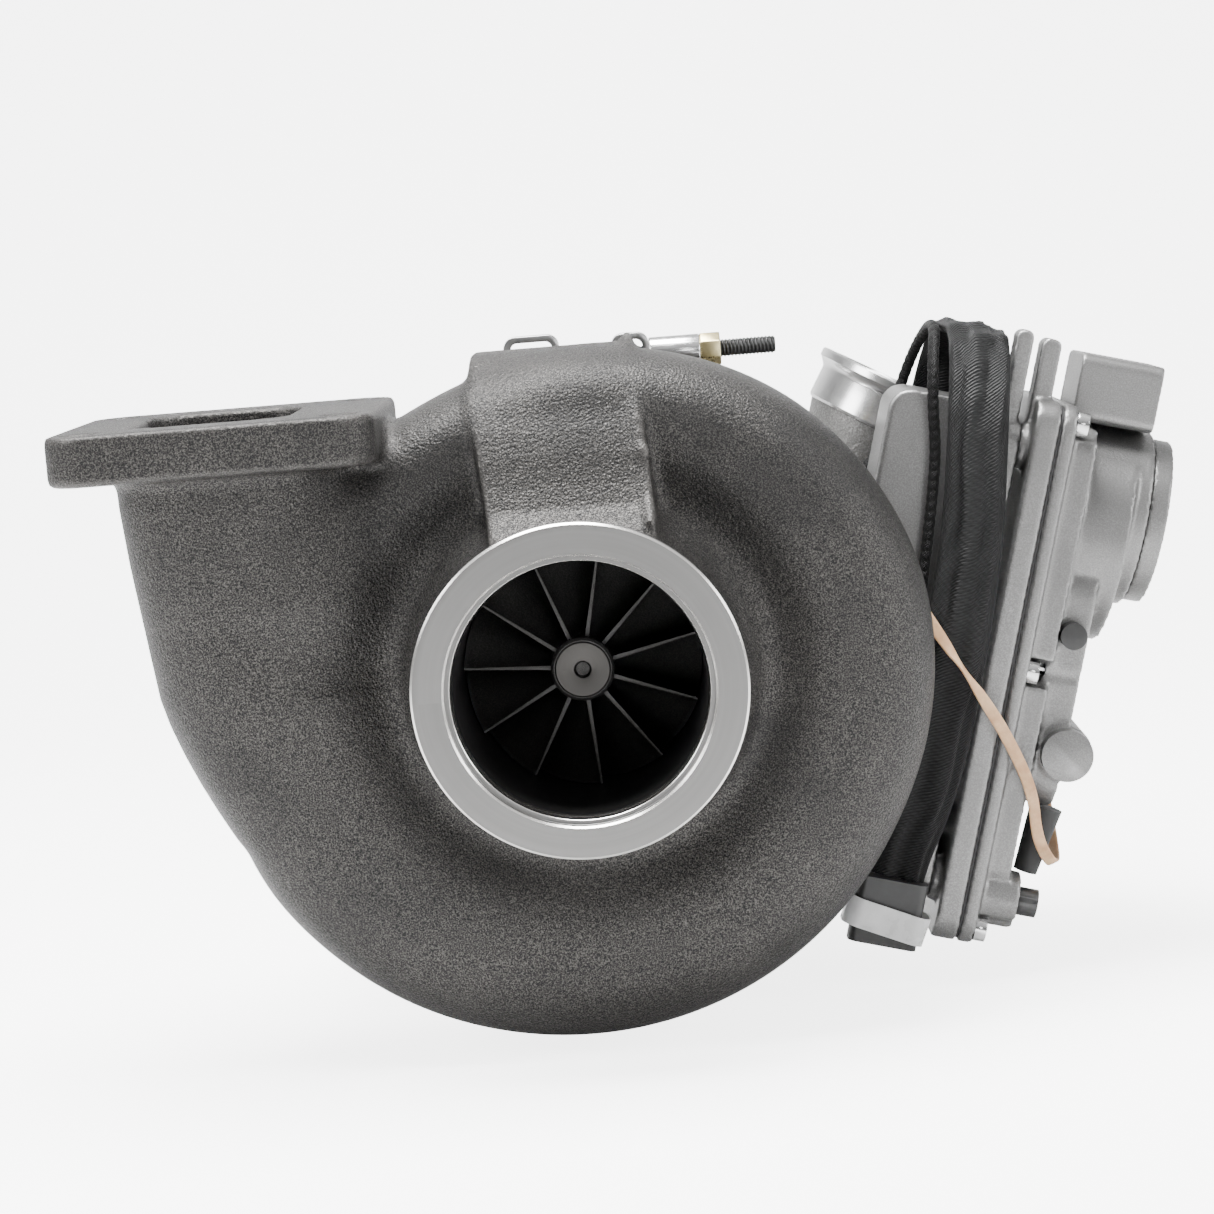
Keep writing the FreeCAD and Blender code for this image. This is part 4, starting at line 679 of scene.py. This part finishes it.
def harness_sleeve():
    """Flat woven tube: wide superellipse sections with long soft folds, crumpled where it bends over the top."""
    rows, around = 700, 56
    path, length = spline_points(SLEEVE_ROUTE, rows)
    s = np.linspace(0, 1, rows)[:, None]
    turn = np.linspace(0, 2 * math.pi, around, endpoint=False)[None]
    folds = 0.0007 * np.sin(2.5 * np.cos(turn) * math.pi + 5.0 * s + 1.1 * np.sin(17 * s)) * np.abs(np.sin(turn))
    small = 0.0003 * np.sin(23 * s + 5 * np.cos(turn) * math.pi + 2 * np.sin(41 * s)) * np.abs(np.sin(turn))
    over_top = np.exp(-((s - 0.34) / 0.1) ** 2)
    crumple = over_top * 0.0005 * np.sin(160 * s + 3 * np.cos(turn)) * np.abs(np.sin(turn))
    wide = 0.0113 + 0.0006 * np.sin(9 * s[:, 0] + 0.6) - 0.0006 * s[:, 0]
    points, faces = carried_tube(path, LEAN_ACROSS, wide, 0.0024, around, 2.6, ripple=folds + small + crumple)
    thing = piece("woven_harness_sleeve", points, faces, "housing", SLEEVE_CLOTH, 70, weld=False,
                  stands_for=("harness_sleeve",))
    strip_uv(thing, rows, around, 44, length / 0.0012)
    return thing, path, length


def rubber_band():
    """Closed flat strip, 4.5 mm wide, turned on edge where it narrows and crosses the casing's corner."""
    rows = 420
    path, length = spline_points(np.concatenate([BAND_ROUTE, BAND_ROUTE[:1]]), rows + 1)
    path = path[:-1]
    tangent = np.roll(path, -1, 0) - np.roll(path, 1, 0)
    tangent /= np.linalg.norm(tangent, axis=1)[:, None]
    centre = path.mean(0)
    away = path - centre
    away -= np.sum(away * tangent, 1)[:, None] * tangent
    away /= np.linalg.norm(away, axis=1)[:, None]
    flat = np.cross(tangent, away)
    s = np.linspace(0, 1, rows, endpoint=False)
    twist = 1.2 * np.exp(-((s - 0.17) / 0.025) ** 2)
    across = flat * np.cos(twist)[:, None] + away * np.sin(twist)[:, None]
    out = np.cross(across, tangent)
    turn = np.linspace(0, 2 * math.pi, 16, endpoint=False)
    wide = (0.0021 - 0.0004 * np.exp(-((s - 0.17) / 0.03) ** 2))[:, None]
    c = np.sign(np.cos(turn)) * np.abs(np.cos(turn)) ** 0.6
    t = np.sign(np.sin(turn)) * np.abs(np.sin(turn)) ** 0.6
    points = path[:, None] + across[:, None] * (wide * c)[..., None] + out[:, None] * (0.00055 * t)[None, :, None]
    return piece("flat_rubber_band", points.reshape(-1, 3), grid_faces(rows, 16, close_rows=True), "housing", TAN, 60,
                 stands_for=("rubber_band",))


add_camera()
lead, lead_path, lead_length = sensor_lead()
sleeve, sleeve_path, sleeve_length = harness_sleeve()
rubber_band()


# ---- turbine casting ---------------------------------------------------------
VOLUTE_MID = 71.0
VOLUTE_ROOT = 62.0
# Degrees round from the inlet leg, and the volute's outer radius there, in mm.
VOLUTE_REACH = ((0, 128), (20, 128), (30, 130.5), (60, 128.5), (85, 125.5), (110, 122.5), (150, 117.5), (190, 117), (225, 112.5),
                (255, 106.5), (285, 101.5), (300, 101.5), (315, 105), (335, 108), (350, 118), (360, 128))


def volute_field(x, y, z):
    """Superellipse section round the wheel, whose reach is a smooth function of the angle from the leg."""
    angle = np.degrees(np.arctan2(z, x)) - 180
    station = np.mod(angle, 360)
    table = np.arange(-20, 381)
    reach = np.interp(table, *np.array(VOLUTE_REACH).T)
    kernel = np.hanning(25)
    reach = np.convolve(np.pad(reach, 12, "edge"), kernel / kernel.sum(), "valid")
    outer = np.interp(station, table, reach).astype(np.float32)
    half = (outer - VOLUTE_ROOT) / 2
    depth = 35.5 - 4.0 * station / 330
    power = 2.5
    a = np.abs(np.sqrt(x * x + z * z) - (outer + VOLUTE_ROOT) / 2) / half
    b = np.abs(y - VOLUTE_MID) / depth
    return ((a ** power + b ** power) ** (1 / power) - 1) * np.minimum(half, depth)


def leg_field(x, y, z, wall=0.0, top=84.0):
    """Inlet leg: rounded rectangle sections that change with height."""
    height = np.clip(z, 0, 82)
    level = np.clip(z, -66, 82)
    left = np.interp(level, (-66, -49, -39, -29, -19, -9, 0, 22, 45, 65, 82),
                     (-108, -120.5, -126, -131, -135.5, -139.3, -141.8, -144.2, -146.6, -148, -148)).astype(np.float32) + wall
    right = np.interp(level, (-66, 0, 22, 45, 65, 82), (-76, -62, -66, -71, -74, -75)).astype(np.float32) - wall
    depth = np.interp(level, (-66, -30, 0, 22, 81), (27, 34, 35.5, 35.5, 40.5)).astype(np.float32) - wall
    power = 2.6 + 1.4 * height / 82
    a = np.abs(x - (left + right) / 2) / ((right - left) / 2)
    b = np.abs(y - VOLUTE_MID) / depth
    side = ((a ** power + b ** power) ** (1 / power) - 1) * np.minimum(depth, (right - left) / 2)
    return np.maximum(side, np.maximum(-66 - z, z - top))


def turbine_casting():
    """Volute, leg, flange, nozzle neck and saddle as one skin with fillets where they meet."""
    step = 1.75
    lo = (-169.0, 3.0, -135.0)
    hi = (124.0, 131.0, 112.0)
    x, y, z = space(lo, hi, step)
    radius = np.sqrt(x * x + z * z)
    volute = volute_field(x, y, z)
    leg = leg_field(x, y, z)
    body = blend_min(volute, leg, 0.8 + 13.0 * np.clip((z - 6) / 24, 0, 1))
    core_y = np.interp(radius, (0, 46, 50, 54, 60, 68, 74), (16, 16, 27, 37, 46, 53, 58)).astype(np.float32)
    core = np.maximum(np.maximum((core_y - y) * 0.6, y - 86), radius - 74)
    body = blend_min(body, core, 12.0)
    neck = np.maximum(np.maximum(radius - 48.3, 6.5 - y), y - 60)
    body = blend_min(body, neck, 7.0)
    profile = np.interp(y, (8, 18, 24, 28, 31.5, 35, 43, 55, 66, 76), (46, 50, 56, 64, 74, 81, 89.5, 98, 103, 105)).astype(np.float32)
    slope = 0.6
    left_edge = np.interp(z, (45, 104), (-25.5, -30.5)).astype(np.float32)
    right_edge = np.interp(z, (45, 104), (28.5, 24.5)).astype(np.float32)
    saddle = blend_max((z - profile) * slope, np.maximum(left_edge - x, x - right_edge), 2.2)
    saddle = blend_max(saddle, np.maximum(14 - y, y - 106), 4.0)
    saddle = np.maximum(saddle, 38 - z)
    body = blend_min(body, saddle, 4.0)
    lump = np.sqrt((x - right_edge + 1.7) ** 2 + ((z - profile) * slope) ** 2) - 1.9
    ridge = np.maximum(np.maximum(lump, 15 - y), np.maximum(y - 104, 50 - z))
    body = blend_min(body, ridge, 1.6)
    nub = np.sqrt((x - 25.5) ** 2 + (y - 30.5) ** 2 + (z - 72) ** 2) - 2.3
    body = blend_min(body, nub, 1.5)
    flange = plate_box(x, y, z, (-165, 15, 75), (-59, 127, 91.5), 12, 1.6)
    body = blend_min(body, flange, 5.0)
    rear = np.maximum(np.maximum(radius - 82, 96 - y), y - 115)
    body = blend_min(body, rear, 3.0)
    lip = np.maximum(np.maximum(radius - 86, 111.8 - y), y - 116)
    body = np.minimum(body, lip)
    port = plate_box(x, y, z, (-141, 36, 66), (-89, 106, 110), 14, 1.0)
    passage = leg_field(x, y, z, wall=6.5, top=70.0)
    passage = np.maximum(passage, 12 - z)
    body = np.maximum(body, -blend_min(port, passage, 5.0))
    body = np.maximum(body, 41.9 - radius)
    well = np.maximum(np.maximum(45.0 - radius, radius - 61.6), np.maximum(68.2 - y, y - 94))
    seat = np.maximum(np.maximum(45.0 - radius, radius - 65.6), np.maximum(81.4 - y, y - 94))
    throat = np.maximum(np.maximum(58.5 - radius, radius - 82), np.maximum(86.4 - y, y - 100))
    rear_bore = np.maximum(radius - 78.2, 86.4 - y)
    for hollow in (well, seat, throat, rear_bore):
        body = np.maximum(body, -hollow)
    for bolt_x in (-154, -70):
        for bolt_y in (26, 116):
            hole = np.maximum(np.sqrt((x - bolt_x) ** 2 + (y - bolt_y) ** 2) - 5.5, 60 - z)
            body = np.maximum(body, -hole)
    body[[0, -1]] = 1
    body[:, [0, -1]] = 1
    body[:, :, [0, -1]] = 1
    points, faces = skin(body.astype(np.float32), lo, step)
    points = relaxed(points, faces, 2, 0.45) * MM
    return piece("turbine_casting", points, faces, "housing", IRON, 75, weld=False, stands_for=("turbine_housing",))


def outlet_ring():
    """Turned V-band ring with its bore, one closed outline round the shaft."""
    outline = [(42.85, 0.7), (43.5, 0), (52.8, 0), (53.5, 0.7), (53.5, 4.5), (53.2, 5.0), (49.2, 8.2), (48.6, 9.2), (48.4, 14),
               (45, 16), (44, 70), (40.6, 76), (40.0, 75.5), (39.95, 50), (40.1, 30), (40.3, 12), (40.7, 8.8), (41.2, 8), (41.2, 3.2),
               (41.4, 3), (42.65, 3), (42.85, 2.8)]
    points, faces = turned(outline, 220)
    ring = piece("turned_outlet_ring", points, faces, "housing", RING_IRON, 30)
    ring.data.materials.append(BORE_IRON)
    ring.data.materials.append(RIM_HIGHLIGHT_IRON)
    # Bore faces take the second finish. The thin chamfer faces take the third, a painted highlight.
    for face in ring.data.polygons:
        centre = face.center
        across = math.hypot(centre.x, centre.z)
        if across < 0.0409 and centre.y > 0.009:
            face.material_index = 1
        elif 0.0001 < centre.y < 0.00068 or (across < 0.0413 and centre.y < 0.009):
            face.material_index = 2
    return ring


def radial_wheel(name, hub, steps, blade_sets, finish):
    """Wheel: a turned hub, and thin blades whose surface is a function of the way along the gas (s) and the
    way from hub to tip (t): radius = hub(s) + t * (tip(s) - hub(s)), turned by wrap(s) with a lean that grows to the tip."""
    shapes = [turned(hub, steps)]
    for count, offset, ways, inner, outer, wrap, thick in blade_sets:
        s = np.linspace(0, 1, 30)
        t = np.linspace(0, 1, 14)
        height = np.interp(s, np.linspace(0, 1, len(ways)), ways)
        low = np.interp(s, np.linspace(0, 1, len(inner)), inner)
        tip = np.interp(s, np.linspace(0, 1, len(outer)), outer)
        soft = np.hanning(7) / np.hanning(7).sum()
        bend = np.convolve(np.pad(np.interp(s, np.linspace(0, 1, len(wrap)), wrap), 3, "edge"), soft, "valid")
        radius = low[:, None] + t[None] * (tip - low)[:, None]
        edge = np.sin(np.pi * np.clip(s, 0.04, 0.96))[:, None] ** 0.35
        half = thick / 2 * edge * (1.25 - 0.7 * t[None])
        for k in range(count):
            turn = np.radians(bend)[:, None] + 2 * math.pi * k / count + offset
            sides = []
            for sign in (1, -1):
                angle = turn + sign * half / np.maximum(radius, 4)
                sides.append(np.stack([radius * np.cos(angle), np.broadcast_to(height[:, None], radius.shape),
                                       radius * np.sin(angle)], -1))
            loop = np.concatenate([sides[0], sides[1][:, ::-1]], 1)
            points = loop.reshape(-1, 3) * MM
            faces = grid_faces(30, 28).tolist()
            faces.append(list(range(28))[::-1])
            faces.append([29 * 28 + j for j in range(28)])
            shapes.append((points, faces))
    points, faces = joined(shapes)
    return piece(name, points, faces, "rotor", finish, 38)


def turbine_wheel():
    hub = [(0.0, 54.6), (2.2, 54.4), (2.7, 53.3), (9.6, 53.0), (10.4, 53.6), (10.5, 60), (12, 70), (16, 80), (24, 89), (34, 95),
           (42.8, 98), (42.8, 100), (14, 100), (11, 103), (11.6, 103), (11.6, 106), (0.0, 106)]
    blades = [(11, 0.0, (58, 66, 76, 84, 91, 98.6), (9, 10, 13, 17, 24, 36), (39.4, 39.4, 39.4, 41.7, 42.9, 42.9),
               (47, 27, 9, 2, 0, 0), 2.3)]
    wheel = radial_wheel("bladed_turbine_wheel", hub, 96, blades, ALLOY)
    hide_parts("turbine_wheel")
    rim = [(2.4, 53.6), (2.9, 52.7), (3.4, 52.55), (8.8, 52.55), (10.6, 54.2), (10.6, 56.5), (9.5, 57.0), (2.4, 57.0)]
    boss_points, boss_faces = turned(rim, 96)
    boss = piece("turbine_wheel_nose", boss_points, boss_faces, "rotor", NOSE, 25)
    return wheel, boss


def compressor_wheel():
    hub = [(5.5, 181.6), (47.9, 181.6), (47.9, 183), (38, 185), (28, 189), (20, 195), (14, 204), (11, 213), (10, 219), (5.5, 219)]
    outer = (32.9, 32.9, 34, 38, 45.8, 47.9)
    blades = [(7, 0.0, (215, 207, 199, 192, 187.1, 183.4), (10, 12, 16, 22, 31, 39), outer, (-38, -16, -3, 8, 20, 30), 1.5),
              (7, math.pi / 7, (205, 199, 192, 187.1, 183.4), (13, 16, 22, 31, 39), (32.9, 34, 38, 45.8, 47.9),
               (-11, -3, 8, 20, 30), 1.4)]
    wheel = radial_wheel("bladed_compressor_wheel", hub, 96, blades, MILLED)
    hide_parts("compressor_wheel")
    return wheel


def threaded_bolt():
    """T-bolt: along X its radius is core + depth * triangle(x / pitch - turn / full turn), and a round head lies across its end."""
    start, end, pitch, core, depth = -8.0, 73.4, 1.25, 2.62, 0.44
    middle_y, middle_z = 116.1, 99.2
    rows, around = 620, 30
    x = np.linspace(start, end, rows)[:, None]
    turn = np.linspace(0, 2 * math.pi, around, endpoint=False)[None]
    wave = np.abs(2 * np.mod(x / pitch - turn / (2 * math.pi), 1) - 1)
    radius = np.minimum(core + depth * wave, 2.3 + (end - x))
    points = np.stack([np.broadcast_to(x, radius.shape), middle_y + radius * np.cos(turn), middle_z + radius * np.sin(turn)], -1)
    faces = grid_faces(rows, around).tolist()
    faces += [list(range(around))[::-1], [(rows - 1) * around + k for k in range(around)]]
    head = turned([(0, 112.7), (3.8, 112.7), (4.2, 113.1), (4.2, 119.1), (3.8, 119.5), (0, 119.5)], 48, (-10.5, 0, middle_z))
    points, faces = joined([(points.reshape(-1, 3) * MM, faces), head])
    return piece("threaded_clamp_bolt", points, faces, "housing", FINISH[SLOT_OF["t_bolt"]], 50,
                 stands_for=("t_bolt",))


# ---- compressor casting ------------------------------------------------------
TUBE_ANGLE = math.radians(30.0)
TUBE_START = np.array([73.5 * math.cos(TUBE_ANGLE), 211.6, -73.5 * math.sin(TUBE_ANGLE)])
TUBE_AHEAD = np.array([math.sin(TUBE_ANGLE), 0.0, math.cos(TUBE_ANGLE)])


def compressor_casting():
    """Round scroll that grows round the wheel and runs into a straight tube, with its cover and inlet spigot."""
    step = 1.75
    lo = (-112.0, 166.0, -112.0)
    hi = (166.0, 304.0, 98.0)
    x, y, z = space(lo, hi, step)
    radius = np.sqrt(x * x + z * z)
    part = np.mod(np.degrees(np.arctan2(z, x)) + 30, 360) / 360
    size = 12 + 17 * part
    middle = 64 + 9.5 * part
    scroll = np.sqrt((radius - middle) ** 2 + (y - 182.6 - size) ** 2) - size
    away = x * TUBE_AHEAD[0] + z * TUBE_AHEAD[2] - float(TUBE_START @ TUBE_AHEAD)
    off_x = x - TUBE_START[0] - away * TUBE_AHEAD[0]
    off_z = z - TUBE_START[2] - away * TUBE_AHEAD[2]
    off = np.sqrt(off_x ** 2 + (y - TUBE_START[1]) ** 2 + off_z ** 2)
    wide = np.interp(away, (0, 92, 112, 128), (29, 29, 34.3, 34.3)).astype(np.float32)
    tube = np.maximum(np.maximum(off - wide, -away - 6), away - 121)
    cover = np.interp(y, (170, 184, 196, 214, 240, 246), (85, 85, 78, 52, 48, 50.6)).astype(np.float32)
    front = np.maximum(np.maximum((radius - cover) * 0.8, 170.2 - y), y - 292)
    body = blend_min(blend_min(scroll, tube, 3.0), front, 6.0)
    lip = np.maximum(np.maximum(radius - 88, 170.2 - y), y - 174.2)
    body = np.minimum(body, lip)
    for angle in (20, 80, 140, 200, 260, 320):
        bx, bz = 79 * math.cos(math.radians(angle)), 79 * math.sin(math.radians(angle))
        boss = np.maximum(np.sqrt((x - bx) ** 2 + (z - bz) ** 2) - 7, np.maximum(176 - y, y - 190))
        body = blend_min(body, boss, 4.0)
    eye = np.interp(y, (181, 187.6, 188.2, 192.5, 199.5, 207, 218, 232, 262, 300), (66, 66, 47, 38.9, 34.6, 33.5, 33.5, 37, 46.5, 47))
    body = np.maximum(body, eye.astype(np.float32) - radius)
    body = np.maximum(body, -np.maximum(radius - 80, y - 181))
    inner = np.maximum(off - (wide - 4.5), 20 - away)
    body = np.maximum(body, -inner)
    for place in (0, -1):
        body[place] = 1
        body[:, place] = 1
        body[:, :, place] = 1
    points, faces = skin(body.astype(np.float32), lo, step)
    points = relaxed(points, faces, 2, 0.45) * MM
    return piece("compressor_casting", points, faces, "housing", SCROLL_ALUMINIUM, 75, weld=False,
                 stands_for=("compressor_housing",))


to_axis = Vector((0, 1, 0)).rotation_difference(Vector(TUBE_AHEAD)).to_euler()
TUBE_METAL = turned_metal("turned aluminium", shade(0.55, (1, 1, 0.99)), shade(0.74), 1500.0, (0.16, 0.27), 0.000025,
                          tuple(TUBE_START * MM), tuple(to_axis))
SPIGOT_METAL = turned_metal("turned spigot", shade(0.55), shade(0.72), 1500.0, (0.2, 0.32), 0.00002)


def outlet_mouth():
    """Turned lip and neck of the pressure outlet, one closed outline round the tube's axis."""
    outline = [(33.0, 128.0), (36.9, 128.0), (37.5, 127.4), (37.5, 124.9), (37.1, 124.7), (35.2, 122.4), (34.8, 121.2), (34.8, 110.5),
               (34.2, 109.5), (30.5, 108), (30.0, 112), (31.2, 119), (32.4, 127)]
    points, faces = turned(outline, 160, TUBE_START, TUBE_AHEAD)
    return piece("turned_outlet_mouth", points, faces, "housing", TUBE_METAL, 30)


def inlet_spigot():
    outline = [(47.0, 300), (49.4, 300), (50.8, 298.6), (50.8, 292), (50.8, 246), (50.0, 244.6), (47.2, 246), (46.9, 262)]
    points, faces = turned(outline, 160)
    return piece("turned_inlet_spigot", points, faces, "housing", SPIGOT_METAL, 30)


turbine_casting()
outlet_ring()
turbine_wheel()
compressor_wheel()
compressor_casting()
outlet_mouth()
inlet_spigot()
threaded_bolt()


# ---- other castings and machined parts ---------------------------------------
softened("bearing_housing", 1.6, 2, DRUM_IRON)
softened("actuator_bracket", 1.05, 3, ALUMINIUM)
softened("actuator_base", 1.05, 2, ALUMINIUM)
softened("actuator_cover", 1.05, 3, ALUMINIUM)
softened("connector_box", 0.7, 2, ALUMINIUM)
softened("motor_end_cap", 0.8, 2, ALUMINIUM)
for part_name, width in (("turbine_v_band", 0.35), ("compressor_v_band", 0.35), ("clamp_nut", 0.5), ("trunnion_sleeve", 0.5),
                         ("compressor_clamp_nut", 0.5), ("compressor_clamp_bolt", 0.4), ("cover_screws", 0.35),
                         ("mounting_screws", 0.35), ("round_plug", 0.6), ("small_cap", 0.7), ("socket_screw", 0.5),
                         ("bracket_bolt", 0.5), ("speed_sensor", 0.4), ("harness_gland", 0.7),
                         ("compressor_nut", 0.4)):
    edged(part_name, width, FINISH[SLOT_OF[part_name]])


# ---- stage -------------------------------------------------------------------
def add_stage():
    """Plain pale floor that curves up behind, soft lamps and a pale surround."""
    low = min(cad_box[0].z, cad_box[1].z) - 0.0005
    turn = np.linspace(0, math.pi / 2, 16)
    profile = [(-7.0, 0.0), (0.9, 0.0)] + [(0.9 + 0.8 * math.sin(a), 0.8 - 0.8 * math.cos(a)) for a in turn[1:]] + [(1.7, 3.2)]
    rows = [[(x, y, low + z) for x in (-6.0, 6.0)] for y, z in profile]
    mesh = bpy.data.meshes.new("floor")
    mesh.from_pydata(np.array(rows).reshape(-1, 3).tolist(), [], grid_faces(len(rows), 2, close_columns=False).tolist())
    mesh.shade_smooth()
    floor = bpy.data.objects.new("floor", mesh)
    bpy.context.scene.collection.objects.link(floor)
    material, tree, shader = base_material("pale floor", [("Base Color", shade(0.92)), ("Roughness", 0.9), ("Specular IOR Level", 0.2),
                                                          ("Emission Color", shade(1.0))])
    seen = node(tree, "LightPath").outputs["Is Camera Ray"]
    tree.links.new(math_node(tree, "MULTIPLY", seen, 4.0), shader.inputs["Emission Strength"])
    mesh.materials.append(material)
    world = bpy.data.worlds.new("pale surround")
    world.use_nodes = True
    sky = world.node_tree
    split = node(sky, "SeparateXYZ")
    sky.links.new(node(sky, "TexCoord").outputs["Generated"], split.inputs[0])
    back = node(sky, "MapRange", [("From Min", -0.5), ("From Max", 0.6), ("To Min", 0.16), ("To Max", 0.85)])
    sky.links.new(split.outputs[1], back.inputs["Value"])
    high = node(sky, "MapRange", [("From Min", 0.2), ("From Max", 0.9), ("To Min", 0.0), ("To Max", 0.7)])
    sky.links.new(split.outputs[2], high.inputs["Value"])
    sky.nodes["Background"].inputs[0].default_value = (1, 1, 1, 1)
    sky.links.new(math_node(sky, "ADD", back.outputs["Result"], high.outputs["Result"]), sky.nodes["Background"].inputs[1])
    bpy.context.scene.world = world
    for name, place, aim, size, power in (
            ("lamp above", (-0.15, 0.05, 1.2), (0, 0.06, 0), 0.8, 66), ("lamp left", (-1.3, -0.35, 0.75), (-0.05, 0.08, 0), 0.6, 15),
            ("lamp right", (1.3, -0.35, 0.45), (0.12, 0.1, 0), 0.55, 12), ("lamp front", (0.5, -1.5, 0.5), (0.1, 0, 0), 0.4, 3)):
        light = bpy.data.lights.new(name, "AREA")
        light.energy = power
        light.size = size
        lamp = bpy.data.objects.new(name, light)
        bpy.context.scene.collection.objects.link(lamp)
        direction = Vector(aim) - Vector(place)
        lamp.matrix_world = Matrix.Translation(place) @ direction.to_track_quat("-Z", "Y").to_matrix().to_4x4()


add_stage()
